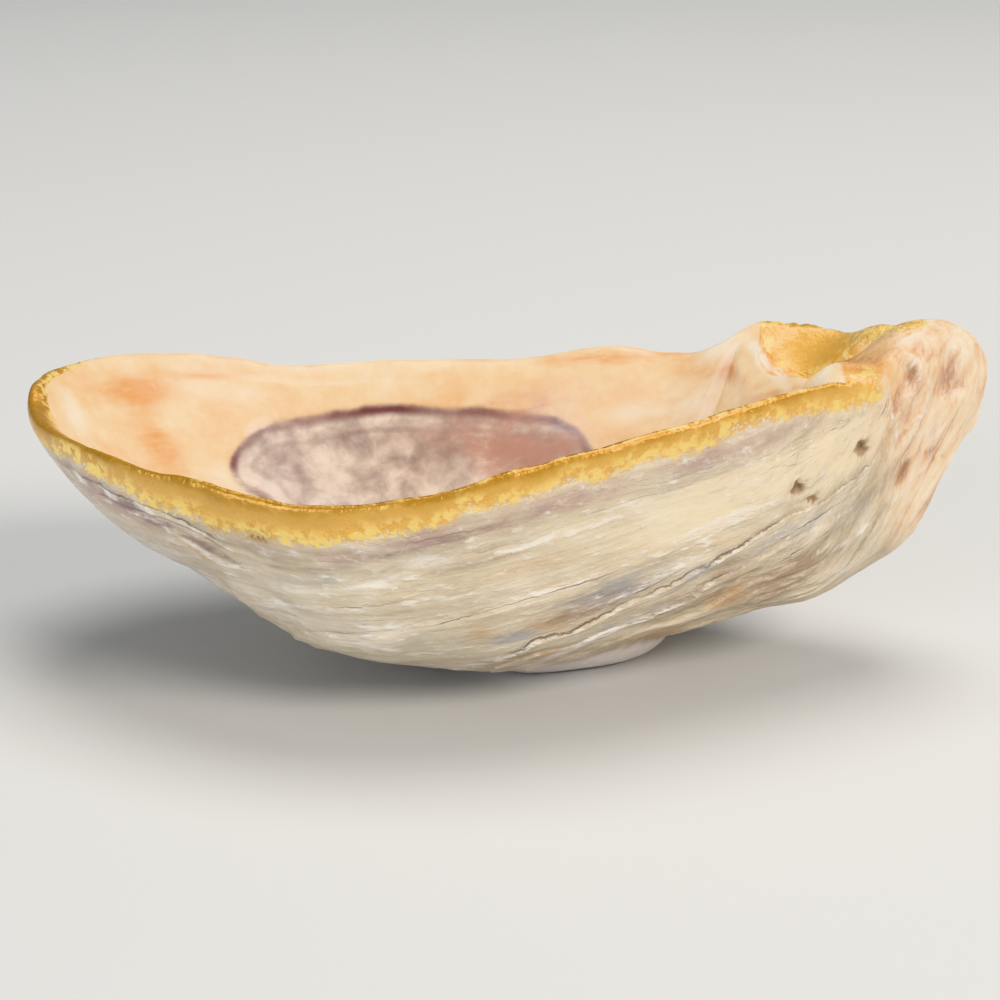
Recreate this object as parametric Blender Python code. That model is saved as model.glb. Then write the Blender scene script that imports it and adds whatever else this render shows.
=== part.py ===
# Oyster shell: one cupped valve that lies with its hollow up, beak toward +X, near flank toward -Y.
# The outside is a loft of growth rings, which start at the beak and end at the rim.
# The hollow is a second loft, from the rim down to the floor of the cup.
# Lengths are in millimetres until the solid is written, and in metres after that.
import math

import bmesh
import bpy
import numpy as np
from mathutils import Matrix, Vector
from mathutils.bvhtree import BVHTree

MM = 0.001
TINY = 1e-6
SMALL = 1e-3

# Where growth began, the blunt tip of the beak, and how far the thin tip lies from it
BEAK = np.array([39.7, 1.0, 24.9])
TIP_X = -38.7
LENGTH = BEAK[0] - TIP_X
KEEL_Y_SLOPE = 2.0

# Edges of the valve from above: share of the length from the beak, y, z. Past the hinge they are its rim
NEAR_EDGE = [
    (0.0, 1.0, 24.9), (0.02, -2.3, 25.4), (0.05, -4.3, 26.0), (0.11, -6.9, 26.9), (0.18, -9.3, 26.7),
    (0.26, -12.6, 26.1), (0.36, -16.2, 24.9), (0.47, -19.0, 23.3), (0.58, -20.1, 21.1), (0.70, -19.0, 20.0),
    (0.80, -15.6, 20.5), (0.90, -10.0, 21.1), (0.97, -4.0, 21.6), (1.0, 3.0, 22.1)]
FAR_EDGE = [
    (0.0, 1.0, 24.9), (0.02, 3.9, 25.8), (0.05, 5.6, 26.0), (0.12, 8.6, 25.8), (0.18, 10.4, 26.1),
    (0.23, 11.8, 25.5), (0.255, 13.0, 23.8), (0.28, 14.2, 22.6), (0.37, 17.3, 22.1), (0.48, 19.2, 20.4),
    (0.61, 20.1, 20.0), (0.74, 19.7, 19.6), (0.85, 17.6, 21.2), (0.94, 13.0, 22.2), (0.98, 8.6, 22.4),
    (1.0, 3.0, 22.1)]

# Underside along the middle: share of the length, z
KEEL = [
    (0.0, 24.9), (0.01, 20.9), (0.035, 17.7), (0.055, 13.3), (0.08, 10.4), (0.12, 8.2), (0.18, 5.6),
    (0.24, 5.1), (0.30, 4.4), (0.36, 3.5), (0.42, 2.3), (0.50, 1.5), (0.57, 1.9), (0.64, 2.8), (0.70, 4.4),
    (0.75, 6.3), (0.83, 9.3), (0.905, 12.6), (0.965, 16.1), (0.99, 18.5), (1.0, 22.1)]

# How square the underside's cross section is at the ends and in the middle
SECTION_POWER_ENDS = 2.8
SECTION_POWER_MIDDLE = 4.4

# Lip of the hinge, from the near corner to the far one: share of the length, share of the half width
HINGE_LIP = [
    (0.110, -1.0), (0.135, -0.58), (0.152, -0.27), (0.190, -0.10), (0.226, 0.14), (0.240, 0.55),
    (0.230, 1.0)]

# Hinge plate above the straight line between its two edges: share of the length, height
CROWN = [
    (0.0, 0.0), (0.006, 1.4), (0.024, 2.6), (0.068, 3.1), (0.105, 2.4), (0.14, -0.1), (0.18, -2.2),
    (0.24, -2.4)]
CROWN_ROUNDING = 3.0

# Groove of the hinge plate: shares of the half width, depth, and the shares of the length where it deepens
# and where it runs out
GROOVE_MIDDLE = 0.2
GROOVE_HALF_WIDTH = 0.22
GROOVE_DEPTH = 1.7
GROOVE_START = (0.0, 0.09)
GROOVE_END = (0.20, 0.12)

# Scoop where the groove opens on the hollow: x, y
SCOOP_MIDDLE = (25.6, 5.4)
SCOOP_RADII = (4.6, 4.7)
SCOOP_DEPTH = 2.3

# Mesh lines on each side of the valve and across the hinge
SIDE_LINES = 26
HINGE_LINES = 16

# How the flank's lines crowd toward the hinge, where in the section they leave the beak, and how soon the
# ledges reach their full height past the hinge's corner
LINE_CROWDING = 1.6
LINE_START_SIDE = 0.55
LINE_CORNER_REACH = 0.25
EDGE_FADE = 0.1

# The lines that end near the tip run straight in plan, the others run along the edge
STRAIGHT_FROM = 0.3
STRAIGHT_FULL = 0.6
BLEND_POWER = 8.0

# Growth ledges: share of growth at the free edge, and how far the edge stands out
LEDGES = [
    (0.09, 0.30), (0.16, 0.45), (0.25, 0.30), (0.33, 0.55), (0.43, 0.35), (0.52, 0.55), (0.61, 0.60),
    (0.69, 0.85), (0.755, 0.60), (0.81, 0.40), (0.87, 0.50), (0.915, 0.30), (0.958, 0.60)]
LEDGE_START = 0.03
LEDGE_FACE = 0.008
LEDGE_CREVICE = 0.12
LEDGE_MIDDLE = 0.6
HINGE_LEDGES = 0.25

# Waves around the valve that make the rings and the ledges uneven: waves in a turn, shift, strength
RING_WAVES = [(3, 9, 0.016), (7, -14, 0.011), (12, 31, 0.008)]
LEDGE_WAVES = [(5, 40, 0.25), (11, 90, 0.2)]
LEDGE_MEAN = 0.75

# Gaps between rings and between lines, in mm for a whole growth or a whole turn, below which ledges shrink
FULL_RING_GAP = 40.0
FULL_LINE_GAP = 12.0

# Extra rings on the beak and beside the rim
BEAK_RINGS = [0.004, 0.014, 0.03, 0.05, 0.07]
RIM_RINGS = [0.995, 1.0]

# Rounded lip of the rim, and its rings as shares of that width and drop
LIP_WIDTH = 2.2
LIP_DROP = 1.3
LIP_STEPS = [(0.35, 0.05), (0.75, 0.35), (1.0, 1.0)]

# Hollow: its middle, the thickness of walls and floor along the length, and the squareness of its section
HOLLOW_MIDDLE = np.array([-4.0, 1.5])
WALL_THICKNESS = [(0.0, 0.6), (0.12, 0.8), (0.22, 1.6), (0.34, 2.3), (0.5, 2.4), (1.0, 2.4)]
FLOOR_THICKNESS = [
    (0.0, 12.0), (0.12, 11.4), (0.2, 9.5), (0.3, 6.4), (0.4, 4.4), (0.5, 3.3), (0.75, 3.2), (0.92, 2.8),
    (1.0, 1.0)]
HOLLOW_SECTION_POWER = 2.8
HOLLOW_WALL_POWER = 9.0
HOLLOW_RINGS = 13
HOLLOW_CROWDING = 1.25

# Lump under the middle: an ellipsoid with blunt ends and a low cap, cut off flat where it meets the ground
LUMP_MIDDLE = (5.6, -0.2, 3.9)
LUMP_RADII = (9.4, 6.0, 4.4)
LUMP_CAP = 0.15
LUMP_BLUNTNESS = 0.65
LUMP_TURN = math.radians(17)
LUMP_SEGMENTS = 24
GROUND_SIZE = 100.0

# Bore pits on the near flank: x, z, diameter
PITS = [(23.4, 18.0, 1.4), (24.3, 17.3, 1.1), (28.4, 20.6, 1.4), (31.8, 18.6, 1.3), (31.0, 23.4, 1.2)]
PIT_SUNK = 0.25
PIT_DEPTH = 1.3
PIT_SEGMENTS = 12
PIT_RAY_Y = -60.0

SHELL_COLOUR = (0.56, 0.47, 0.36, 1.0)
SHELL_ROUGHNESS = 0.45
SHARP_ANGLE = math.radians(40)


def clear_scene():
    for thing in list(bpy.data.objects):
        bpy.data.objects.remove(thing, do_unlink=True)


def growth_angle(share):
    # Turns a share of growth into an angle that is finely spaced at both the beak and the rim
    return np.arcsin(np.sqrt(np.clip(share, 0.0, 1.0)))


def along(stations, share):
    # Smooth curve through the stations, read at a share of growth
    places = growth_angle(np.array([place for place, value in stations]))
    values = np.array([value for place, value in stations])
    slopes = np.gradient(values, places)
    at = growth_angle(share)
    left = np.clip(np.searchsorted(places, at, side="right") - 1, 0, len(places) - 2)
    span = places[left + 1] - places[left]
    part = (at - places[left]) / span
    rest = 1.0 - part
    ends = values[left] * rest ** 2 * (1 + 2 * part) + values[left + 1] * part ** 2 * (3 - 2 * part)
    return ends + span * part * rest * (slopes[left] * rest - slopes[left + 1] * part)


def ramp(share, limits):
    # 0 at the first limit and beyond it, 1 at the second
    return np.clip((share - limits[0]) / (limits[1] - limits[0]), 0.0, 1.0)


def edge_at(side, share, column):
    # y (column 1) or z (column 2) of the near or far edge
    return along([(station[0], station[column]) for station in side], share)


def keel_y(share):
    return BEAK[1] + KEEL_Y_SLOPE * share


def smooth_list(stations, count):
    # Evenly read Catmull-Rom curve through a short open list of stations
    padded = np.vstack([2 * stations[0] - stations[1], stations, 2 * stations[-1] - stations[-2]])
    place = np.linspace(0.0, len(stations) - 1, count)
    index = np.minimum(place.astype(int), len(stations) - 2)
    part = (place - index)[:, None]
    before, start, end, after = (padded[index + step] for step in range(4))
    curve = 2 * start + (end - before) * part
    curve = curve + (2 * before - 5 * start + 4 * end - after) * part ** 2
    curve = curve + (3 * start - before - 3 * end + after) * part ** 3
    return curve * 0.5


def side_places(corner, count):
    # Lines of one side, from hinge corner to tip: end share, start in the section, share of the ledges
    step = np.linspace(0.0, 1.0, count + 1)
    share = np.sin(growth_angle(corner) + (math.pi / 2 - growth_angle(corner)) * step ** LINE_CROWDING) ** 2
    corner_start = np.clip(1 - step / LINE_CORNER_REACH, 0.0, 1.0)
    start = LINE_START_SIDE * (1 - step) + (1 - LINE_START_SIDE) * corner_start
    return share, start, np.clip(step / EDGE_FADE, 0.0, 1.0)


def mesh_lines(side_lines, hinge_lines):
    # One row for each line from the beak to the rim: its share of the length at the rim, its side (-1 near,
    # 0 hinge, 1 far), where in the section it leaves the beak, and how much of the ledges it shows
    near = np.column_stack(side_places(HINGE_LIP[0][0], side_lines))[::-1]
    far = np.column_stack(side_places(HINGE_LIP[-1][0], side_lines))[:-1]
    lip = smooth_list(np.array(HINGE_LIP), hinge_lines + 1)[1:-1]
    rows = [(share, -1.0, start, ledges) for share, start, ledges in near]
    rows += [(share, 0.0, width, HINGE_LEDGES) for share, width in lip]
    rows += [(share, 1.0, start, ledges) for share, start, ledges in far]
    return np.array(rows)


def underside(share, across, side):
    # Height of the underside at a share of the length and a share of the half width
    rim = np.where(side < 0, edge_at(NEAR_EDGE, share, 2), edge_at(FAR_EDGE, share, 2))
    power = SECTION_POWER_ENDS + (SECTION_POWER_MIDDLE - SECTION_POWER_ENDS) * np.sin(math.pi * share)
    keel = along(KEEL, share)
    return keel + (rim - keel) * np.abs(across) ** power


def hinge_top(share, across, x, y):
    near, far = edge_at(NEAR_EDGE, share, 2), edge_at(FAR_EDGE, share, 2)
    level = near + (far - near) * (across + 1) / 2
    crown = along(CROWN, share) * (1 - np.abs(across) ** CROWN_ROUNDING)
    groove = GROOVE_DEPTH * np.exp(-((across - GROOVE_MIDDLE) / GROOVE_HALF_WIDTH) ** 2)
    groove = groove * ramp(share, GROOVE_START) * ramp(share, GROOVE_END)
    reach = ((x - SCOOP_MIDDLE[0]) / SCOOP_RADII[0]) ** 2 + ((y - SCOOP_MIDDLE[1]) / SCOOP_RADII[1]) ** 2
    scoop = SCOOP_DEPTH * np.clip(1 - reach, 0.0, 1.0) ** 2
    return level + crown - groove - scoop


def waves(table, turn, place):
    return sum(strength * np.sin(count * turn + shift * place) for count, shift, strength in table)


def wander(share, turn):
    # Growth rings are never quite even: each wanders a little toward the beak or the rim
    return share + waves(RING_WAVES, turn, share) * share * (1.0 - share)


def ledge_height(share, turn):
    # Each layer thickens up to its free edge and then steps in to the next layer
    height = np.zeros_like(share)
    start = LEDGE_START
    for free_edge, rise in LEDGES:
        swell = rise * (LEDGE_MEAN + waves(LEDGE_WAVES, turn, free_edge))
        layer = (share > start + TINY) & (share <= free_edge + TINY)
        height = np.where(layer, swell * ramp(share, (start, free_edge)) ** 2, height)
        start = free_edge + LEDGE_FACE
        crevice = (share > free_edge + TINY) & (share <= start + TINY)
        height = np.where(crevice, -LEDGE_CREVICE, height)
    return height


def ring_shares():
    # A ring at every free edge, one in the crevice after it and one between ledges
    shares = list(BEAK_RINGS)
    free_edges = [free_edge for free_edge, rise in LEDGES]
    for free_edge, next_edge in zip(free_edges, free_edges[1:] + [1.0]):
        shares += [free_edge, free_edge + LEDGE_FACE, free_edge + LEDGE_MIDDLE * (next_edge - free_edge)]
    return np.array(shares + RIM_RINGS)


def smooth_outside(growth, lines):
    # Growth rings without their ledges, on a grid of growth by mesh line
    end, side, start = (lines[None, :, column] for column in range(3))
    share = growth * end
    x = BEAK[0] - LENGTH * share
    middle = keel_y(share)
    near, far = edge_at(NEAR_EDGE, share, 1) - middle, edge_at(FAR_EDGE, share, 1) - middle
    half = np.maximum(np.where((side < 0) | ((side == 0) & (start < 0)), -near, far), TINY)
    rim_y = np.where(side < 0, edge_at(NEAR_EDGE, end, 1), edge_at(FAR_EDGE, end, 1))
    straight = np.clip(np.abs(BEAK[1] + growth * (rim_y - BEAK[1]) - middle) / half, SMALL, 1.0)
    parallel = np.maximum(1 - (1 - start) * (1 - growth ** 2), SMALL)
    tipward = ramp(end, (STRAIGHT_FROM, STRAIGHT_FULL))
    blend = (straight ** -BLEND_POWER * tipward + parallel ** -BLEND_POWER) / (1 + tipward)
    across = np.where(side == 0, start, side * np.minimum(blend ** (-1 / BLEND_POWER), 1.0))
    y = middle + across * half
    z = np.where(side == 0, hinge_top(share, across, x, y), underside(share, across, side))
    return np.stack([x, y, z], axis=2)


def outward(point):
    across = np.roll(point, -1, axis=1) - np.roll(point, 1, axis=1)
    down = np.gradient(point, axis=0)
    normal = np.cross(across, down)
    return normal / np.maximum(np.linalg.norm(normal, axis=2, keepdims=True), TINY)


def outside(lines):
    # The ledges shrink where the rings bunch together
    turn = np.linspace(0.0, 2 * math.pi, len(lines), endpoint=False)[None, :]
    even = ring_shares()[:, None] + 0.0 * turn
    point = smooth_outside(wander(even, turn), lines)
    growing = np.gradient(point, ring_shares(), axis=0)
    turning = (np.roll(point, -1, axis=1) - np.roll(point, 1, axis=1)) / (2 * turn[0, 1])
    area = np.linalg.norm(np.cross(growing, turning), axis=2)
    ring_gap = area / np.maximum(np.linalg.norm(turning, axis=2), TINY)
    line_gap = area / np.maximum(np.linalg.norm(growing, axis=2), TINY)
    room = np.minimum(ring_gap / FULL_RING_GAP, 1.0) * np.minimum(line_gap / FULL_LINE_GAP, 1.0)
    height = ledge_height(even, turn) * lines[None, :, 3] * room
    return point + outward(point) * height[:, :, None]


def hollow(rim):
    # Rounded lip, then rings that close on the middle of the floor
    reach = rim[:, :2] - HOLLOW_MIDDLE
    length = np.linalg.norm(reach, axis=1)
    rings = []
    for inward, drop in LIP_STEPS:
        scale = (1.0 - LIP_WIDTH * inward / length)[:, None]
        rings.append(np.column_stack([HOLLOW_MIDDLE + reach * scale, rim[:, 2] - LIP_DROP * drop]))
    mouth = rings[-1]
    wall = mouth[:, 2] - bed_height(mouth[:, 0], mouth[:, 1])
    for step in range(1, HOLLOW_RINGS):
        scale = 1.0 - (step / HOLLOW_RINGS) ** HOLLOW_CROWDING
        place = HOLLOW_MIDDLE + (mouth[:, :2] - HOLLOW_MIDDLE) * scale
        level = bed_height(place[:, 0], place[:, 1]) + wall * scale ** HOLLOW_WALL_POWER
        rings.append(np.column_stack([place, level]))
    return np.array(rings)


def bed_height(x, y):
    # Floor of the hollow: the underside's section, narrower by the walls and higher by the floor's thickness
    share = np.clip((BEAK[0] - x) / LENGTH, 0.0, 1.0)
    middle = keel_y(share)
    near, far = middle - edge_at(NEAR_EDGE, share, 1), edge_at(FAR_EDGE, share, 1) - middle
    half = np.maximum(np.where(y < middle, near, far) - along(WALL_THICKNESS, share), 1.0)
    rim = np.where(y < middle, edge_at(NEAR_EDGE, share, 2), edge_at(FAR_EDGE, share, 2)) - LIP_DROP
    floor = along(KEEL, share) + along(FLOOR_THICKNESS, share)
    across = np.clip(np.abs(y - middle) / half, 0.0, 1.0)
    return floor + np.maximum(rim - floor, 0.0) * across ** HOLLOW_SECTION_POWER


def loft(rings, first_pole, last_pole):
    # Closed skin over a stack of equal rings, with a fan of triangles at each end
    mesh = bmesh.new()
    rows = [[mesh.verts.new(place) for place in ring] for ring in rings]
    count = len(rows[0])
    for row, below in zip(rows, rows[1:]):
        for i in range(count):
            j = (i + 1) % count
            mesh.faces.new((row[i], row[j], below[j], below[i]))
    start, end = mesh.verts.new(first_pole), mesh.verts.new(last_pole)
    for i in range(count):
        j = (i + 1) % count
        mesh.faces.new((start, rows[0][j], rows[0][i]))
        mesh.faces.new((end, rows[-1][i], rows[-1][j]))
    bmesh.ops.triangulate(mesh, faces=mesh.faces[:])
    bmesh.ops.recalc_face_normals(mesh, faces=mesh.faces[:])
    return mesh


def valve():
    skin = outside(mesh_lines(SIDE_LINES, HINGE_LINES))
    bowl = hollow(skin[-1])
    floor = np.append(HOLLOW_MIDDLE, bed_height(*HOLLOW_MIDDLE))
    mesh = loft(np.concatenate([skin, bowl]) * MM, BEAK * MM, floor * MM)
    data = bpy.data.meshes.new("shell")
    mesh.to_mesh(data)
    mesh.free()
    return bpy.data.objects.new("shell", data)


def ellipsoid(name, middle, radii, turn, segments):
    bpy.ops.mesh.primitive_uv_sphere_add(segments=segments, ring_count=segments // 2, radius=1.0)
    body = bpy.context.object
    body.name = name
    body.matrix_world = (Matrix.Translation(Vector(middle) * MM) @ Matrix.Rotation(turn, 4, "Z")
                         @ Matrix.Diagonal((*(Vector(radii) * MM), 1.0)))
    return body


def lump_body():
    lump = ellipsoid("lump", LUMP_MIDDLE, LUMP_RADII, LUMP_TURN, LUMP_SEGMENTS)
    for vertex in lump.data.vertices:
        vertex.co.x = math.copysign(abs(vertex.co.x) ** LUMP_BLUNTNESS, vertex.co.x)
        if vertex.co.z > 0:
            vertex.co.z *= LUMP_CAP
    return lump


def ground():
    bpy.ops.mesh.primitive_cube_add(size=GROUND_SIZE * MM, location=(0, 0, -GROUND_SIZE / 2 * MM))
    bpy.context.object.name = "ground"
    return bpy.context.object


def pit_cutters(shell):
    skin = BVHTree.FromObject(shell, bpy.context.evaluated_depsgraph_get())
    cutters = []
    for number, (x, z, diameter) in enumerate(PITS):
        place = skin.ray_cast(Vector((x, PIT_RAY_Y, z)) * MM, Vector((0, 1, 0)))[0]
        middle = place / MM + Vector((0, PIT_SUNK, 0))
        radius = diameter / 2
        radii = (radius, radius * PIT_DEPTH, radius)
        cutters.append(ellipsoid(f"pit_{number}", middle, radii, 0.0, PIT_SEGMENTS))
    return cutters


def combine(body, operation, tool):
    cut = body.modifiers.new(tool.name, "BOOLEAN")
    cut.operation = operation
    cut.object = tool
    cut.solver = "EXACT"


def settle(body):
    # Applies the modifiers and puts the origin under the middle of the box, on the ground
    solid = bpy.data.meshes.new_from_object(body.evaluated_get(bpy.context.evaluated_depsgraph_get()))
    body.modifiers.clear()
    body.data = solid
    places = np.array([vertex.co for vertex in solid.vertices])
    low, high = places.min(axis=0), places.max(axis=0)
    middle = (low + high) / 2
    solid.transform(Matrix.Translation((-middle[0], -middle[1], -low[2])))
    solid.name = body.name


def shell_material():
    material = bpy.data.materials.new("shell")
    material.use_nodes = True
    principled = material.node_tree.nodes["Principled BSDF"]
    principled.inputs["Base Color"].default_value = SHELL_COLOUR
    principled.inputs["Roughness"].default_value = SHELL_ROUGHNESS
    principled.inputs["Metallic"].default_value = 0.0
    return material


def main():
    clear_scene()
    collection = bpy.data.collections.new("oyster_shell")
    bpy.context.scene.collection.children.link(collection)
    shell = valve()
    collection.objects.link(shell)
    bpy.context.view_layer.update()

    lump = lump_body()
    cutters = [ground(), *pit_cutters(shell)]
    combine(shell, "UNION", lump)
    for cutter in cutters:
        combine(shell, "DIFFERENCE", cutter)
    bpy.context.view_layer.update()
    settle(shell)
    for tool in (lump, *cutters):
        bpy.data.objects.remove(tool, do_unlink=True)
    shell.data.materials.clear()
    shell.data.materials.append(shell_material())
    shell.data.shade_smooth()
    shell.data.set_sharp_from_angle(angle=SHARP_ANGLE)


main()
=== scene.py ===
import functools
import itertools
import math

import bpy
import numpy as np
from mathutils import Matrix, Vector


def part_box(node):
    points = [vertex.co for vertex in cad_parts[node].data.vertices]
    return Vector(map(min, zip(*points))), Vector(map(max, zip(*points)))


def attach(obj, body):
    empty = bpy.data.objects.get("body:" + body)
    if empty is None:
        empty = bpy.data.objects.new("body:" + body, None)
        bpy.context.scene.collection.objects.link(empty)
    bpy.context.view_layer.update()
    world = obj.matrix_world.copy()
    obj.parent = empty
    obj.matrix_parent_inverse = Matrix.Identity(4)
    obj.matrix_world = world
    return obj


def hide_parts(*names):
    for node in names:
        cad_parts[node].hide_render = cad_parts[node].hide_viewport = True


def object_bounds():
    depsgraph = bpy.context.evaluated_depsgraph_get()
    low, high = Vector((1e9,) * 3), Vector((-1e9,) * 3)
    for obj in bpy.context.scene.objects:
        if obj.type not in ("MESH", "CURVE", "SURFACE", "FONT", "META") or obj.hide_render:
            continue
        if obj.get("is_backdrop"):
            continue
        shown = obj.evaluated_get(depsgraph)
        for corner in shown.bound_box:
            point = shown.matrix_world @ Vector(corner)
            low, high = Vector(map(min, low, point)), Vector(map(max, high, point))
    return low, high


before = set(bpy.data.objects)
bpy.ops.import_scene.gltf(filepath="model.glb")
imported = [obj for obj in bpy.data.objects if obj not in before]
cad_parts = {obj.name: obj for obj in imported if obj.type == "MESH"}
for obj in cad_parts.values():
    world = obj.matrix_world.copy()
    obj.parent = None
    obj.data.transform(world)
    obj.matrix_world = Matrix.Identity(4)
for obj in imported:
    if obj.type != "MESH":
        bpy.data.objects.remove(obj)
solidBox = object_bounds()
mm = 0.001
tiny, small = 1e-6, 1e-3          # keep divisions away from zero
farAway = 9.0                     # mm, stands for no mark nearby
low, high = (np.array(corner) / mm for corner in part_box("shell"))
length = high[0] - low[0]
print("frame loaded, shell", (high - low).round(2), "mm")

# Form of the valve in millimetres, as in the solid
form = {
    "beakY": 1.0,                 # where growth began, at the box's high x
    "keelSlope": 2.0,             # how far the middle line drifts to +y by the tip
    "squareEnds": 2.8,            # squareness of the underside's section at beak and tip, and half-way
    "squareMiddle": 4.4,
    "nearEdge": [                 # share of the length from the beak, y, z
        (0.0, 1.0, 24.9), (0.02, -2.3, 25.4), (0.05, -4.3, 26.0), (0.11, -6.9, 26.9), (0.18, -9.3, 26.7),
        (0.26, -12.6, 26.1), (0.36, -16.2, 24.9), (0.47, -19.0, 23.3), (0.58, -20.1, 21.1),
        (0.70, -19.0, 20.0), (0.80, -15.6, 20.5), (0.90, -10.0, 21.1), (0.97, -4.0, 21.6), (1.0, 3.0, 22.1)],
    "farEdge": [
        (0.0, 1.0, 24.9), (0.02, 3.9, 25.8), (0.05, 5.6, 26.0), (0.12, 8.6, 25.8), (0.18, 10.4, 26.1),
        (0.23, 11.8, 25.5), (0.255, 13.0, 23.8), (0.28, 14.2, 22.6), (0.37, 17.3, 22.1), (0.48, 19.2, 20.4),
        (0.61, 20.1, 20.0), (0.74, 19.7, 19.6), (0.85, 17.6, 21.2), (0.94, 13.0, 22.2), (0.98, 8.6, 22.4),
        (1.0, 3.0, 22.1)],
    "keel": [                     # share of the length, z of the underside
        (0.0, 24.9), (0.01, 20.9), (0.035, 17.7), (0.055, 13.3), (0.08, 10.4), (0.12, 8.2), (0.18, 5.6),
        (0.24, 5.1), (0.30, 4.4), (0.36, 3.5), (0.42, 2.3), (0.50, 1.5), (0.57, 1.9), (0.64, 2.8),
        (0.70, 4.4), (0.75, 6.3), (0.83, 9.3), (0.905, 12.6), (0.965, 16.1), (0.99, 18.5), (1.0, 22.1)],
    "hingeLip": [                 # share of the length, share of the half width
        (0.165, -1.0), (0.164, -0.66), (0.166, -0.40), (0.186, -0.18), (0.212, 0.14), (0.226, 0.55),
        (0.220, 1.0)],
    "crown": [                    # hinge plate above the line between its edges
        (0.0, 0.0), (0.006, 1.4), (0.024, 2.7), (0.055, 3.4), (0.085, 3.1), (0.105, 2.4), (0.14, -0.1),
        (0.18, -2.2), (0.24, -2.4)],
    "crownRounding": 3.0,         # power that the crown falls off by toward both edges
    "groove": {"middle": 0.2, "halfWidth": 0.22, "depth": 1.7, "start": (0.0, 0.09), "end": (0.20, 0.12)},
    "scoop": {"middle": (25.1, 5.4), "radii": (4.6, 4.7), "depth": 2.3},
    "nearSwell": {"middle": (26.0, -5.4), "radii": (3.2, 4.4), "rise": 1.8},
    "hingeRidges": [              # raised folds on the hinge plate: from, to, half width, rise
        ((25.6, -3.4), (27.7, 4.6), 0.8, 0.7)],
    # Lines start this far across at the beak, and toward the tip run straight to the rim
    "lineStart": 0.55, "cornerReach": 0.25, "straight": (0.3, 0.6), "blendPower": 8.0,
    "wall": [                     # share of the length, thickness of the wall
        (0.0, 0.6), (0.12, 0.8), (0.22, 1.6), (0.34, 2.3), (0.5, 2.4), (1.0, 2.4)],
    "floor": [                    # share of the length, thickness under the hollow
        (0.0, 12.0), (0.12, 11.4), (0.2, 9.5), (0.3, 6.4), (0.4, 4.4), (0.5, 3.3), (0.75, 3.2), (0.92, 2.8),
        (1.0, 1.0)],
    "hollowMiddle": (-4.5, 1.5), "hollowSquare": 2.8, "hollowWall": 9.0, "hollowCrowding": 1.25,
    "lipWidth": 2.2, "lipDrop": 1.3,
    "lipSteps": [                 # inner half of the lip: shares of its width and of its drop
        (0.12, 0.0), (0.25, 0.02), (0.4, 0.08), (0.58, 0.22), (0.75, 0.42), (0.88, 0.68), (1.0, 1.0)],
    "lump": {
        "middle": (5.1, -0.2, 3.9), "radii": (9.4, 6.0, 4.4), "turn": math.radians(17), "blunt": 2 / 0.65,
        "top": 0.15,              # its upper half is this much as high as its lower one
        "near": 1.6, "furthest": 60.0, "halvings": 40, "edge": 1.04},
}

# View that the near side's marks are placed through: places given as (u, v) are pixels of a
# 1000 by 1000 picture taken from here
viewpoint = {
    "distance": 190.0, "elevation": math.radians(20), "aim": (-0.47, 0.0, 14.0),
    "pixelsPerMm": 12.1, "picture": 1000, "sensor": 36.0,
    "edgeOn": 0.05,               # a surface that faces the view less than this is seen edge on
}


def growthAngle(share):
    return np.arcsin(np.sqrt(np.clip(share, 0.0, 1.0)))     # even steps of it are fine at beak and rim


def readAlong(stations, share):
    places = growthAngle(np.array([station[0] for station in stations]))
    values = np.array([station[1] for station in stations])
    slopes = np.gradient(values, places)
    at = growthAngle(share)
    left = np.clip(np.searchsorted(places, at, side="right") - 1, 0, len(places) - 2)
    span = places[left + 1] - places[left]
    part = (at - places[left]) / span
    rest = 1.0 - part
    ends = values[left] * rest ** 2 * (1 + 2 * part) + values[left + 1] * part ** 2 * (3 - 2 * part)
    return ends + span * part * rest * (slopes[left] * rest - slopes[left + 1] * part)


def edgesAt(share, column):
    return [readAlong([(station[0], station[column]) for station in form[edge]], share)
            for edge in ("nearEdge", "farEdge")]


def ramp(value, start, end):
    return np.clip((value - start) / (end - start), 0.0, 1.0)


def smoothRamp(value, start, end):
    part = ramp(value, start, end)
    return part * part * (3 - 2 * part)


def keelY(share):
    return form["beakY"] + form["keelSlope"] * share


def smoothList(stations, place):
    # Catmull-Rom curve through a short open list, read at places from 0 to 1
    stations = np.array(stations, float)
    padded = np.vstack([2 * stations[0] - stations[1], stations, 2 * stations[-1] - stations[-2]])
    at = np.clip(place, 0.0, 1.0) * (len(stations) - 1)
    index = np.minimum(at.astype(int), len(stations) - 2)
    part = (at - index)[:, None]
    before, start, end, after = (padded[index + step] for step in range(4))
    curve = 2 * start + (end - before) * part
    curve = curve + (2 * before - 5 * start + 4 * end - after) * part ** 2
    return 0.5 * (curve + (3 * start - before - 3 * end + after) * part ** 3)


def grain(place, seed):
    # Smooth random value from -1 to 1 at places whose lattice pitch is 1
    base = np.floor(place).astype(np.int64)
    part = place - base
    part = part * part * (3 - 2 * part)
    total = 0.0
    for corner in itertools.product((0, 1), repeat=3):
        key = np.int64(seed * 66826526)
        for axis, prime in enumerate((374761393, 2246822519, 3266489917)):
            key = key + (base[..., axis] + corner[axis]) * prime
        key = ((key ^ (key >> 13)) * 1274126177) & 0xFFFFFFFF
        value = ((key ^ (key >> 16)) & 0xFFFF) / 32767.5 - 1
        total = total + value * np.prod(np.where(corner, part, 1 - part), axis=-1)
    return total


# Places in the picture
def viewAxes():
    tilt = viewpoint["elevation"]
    ahead = np.array([0.0, math.cos(tilt), -math.sin(tilt)])
    upward = np.array([0.0, math.sin(tilt), math.cos(tilt)])
    return ahead, upward, np.array(viewpoint["aim"]) - viewpoint["distance"] * ahead


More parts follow.
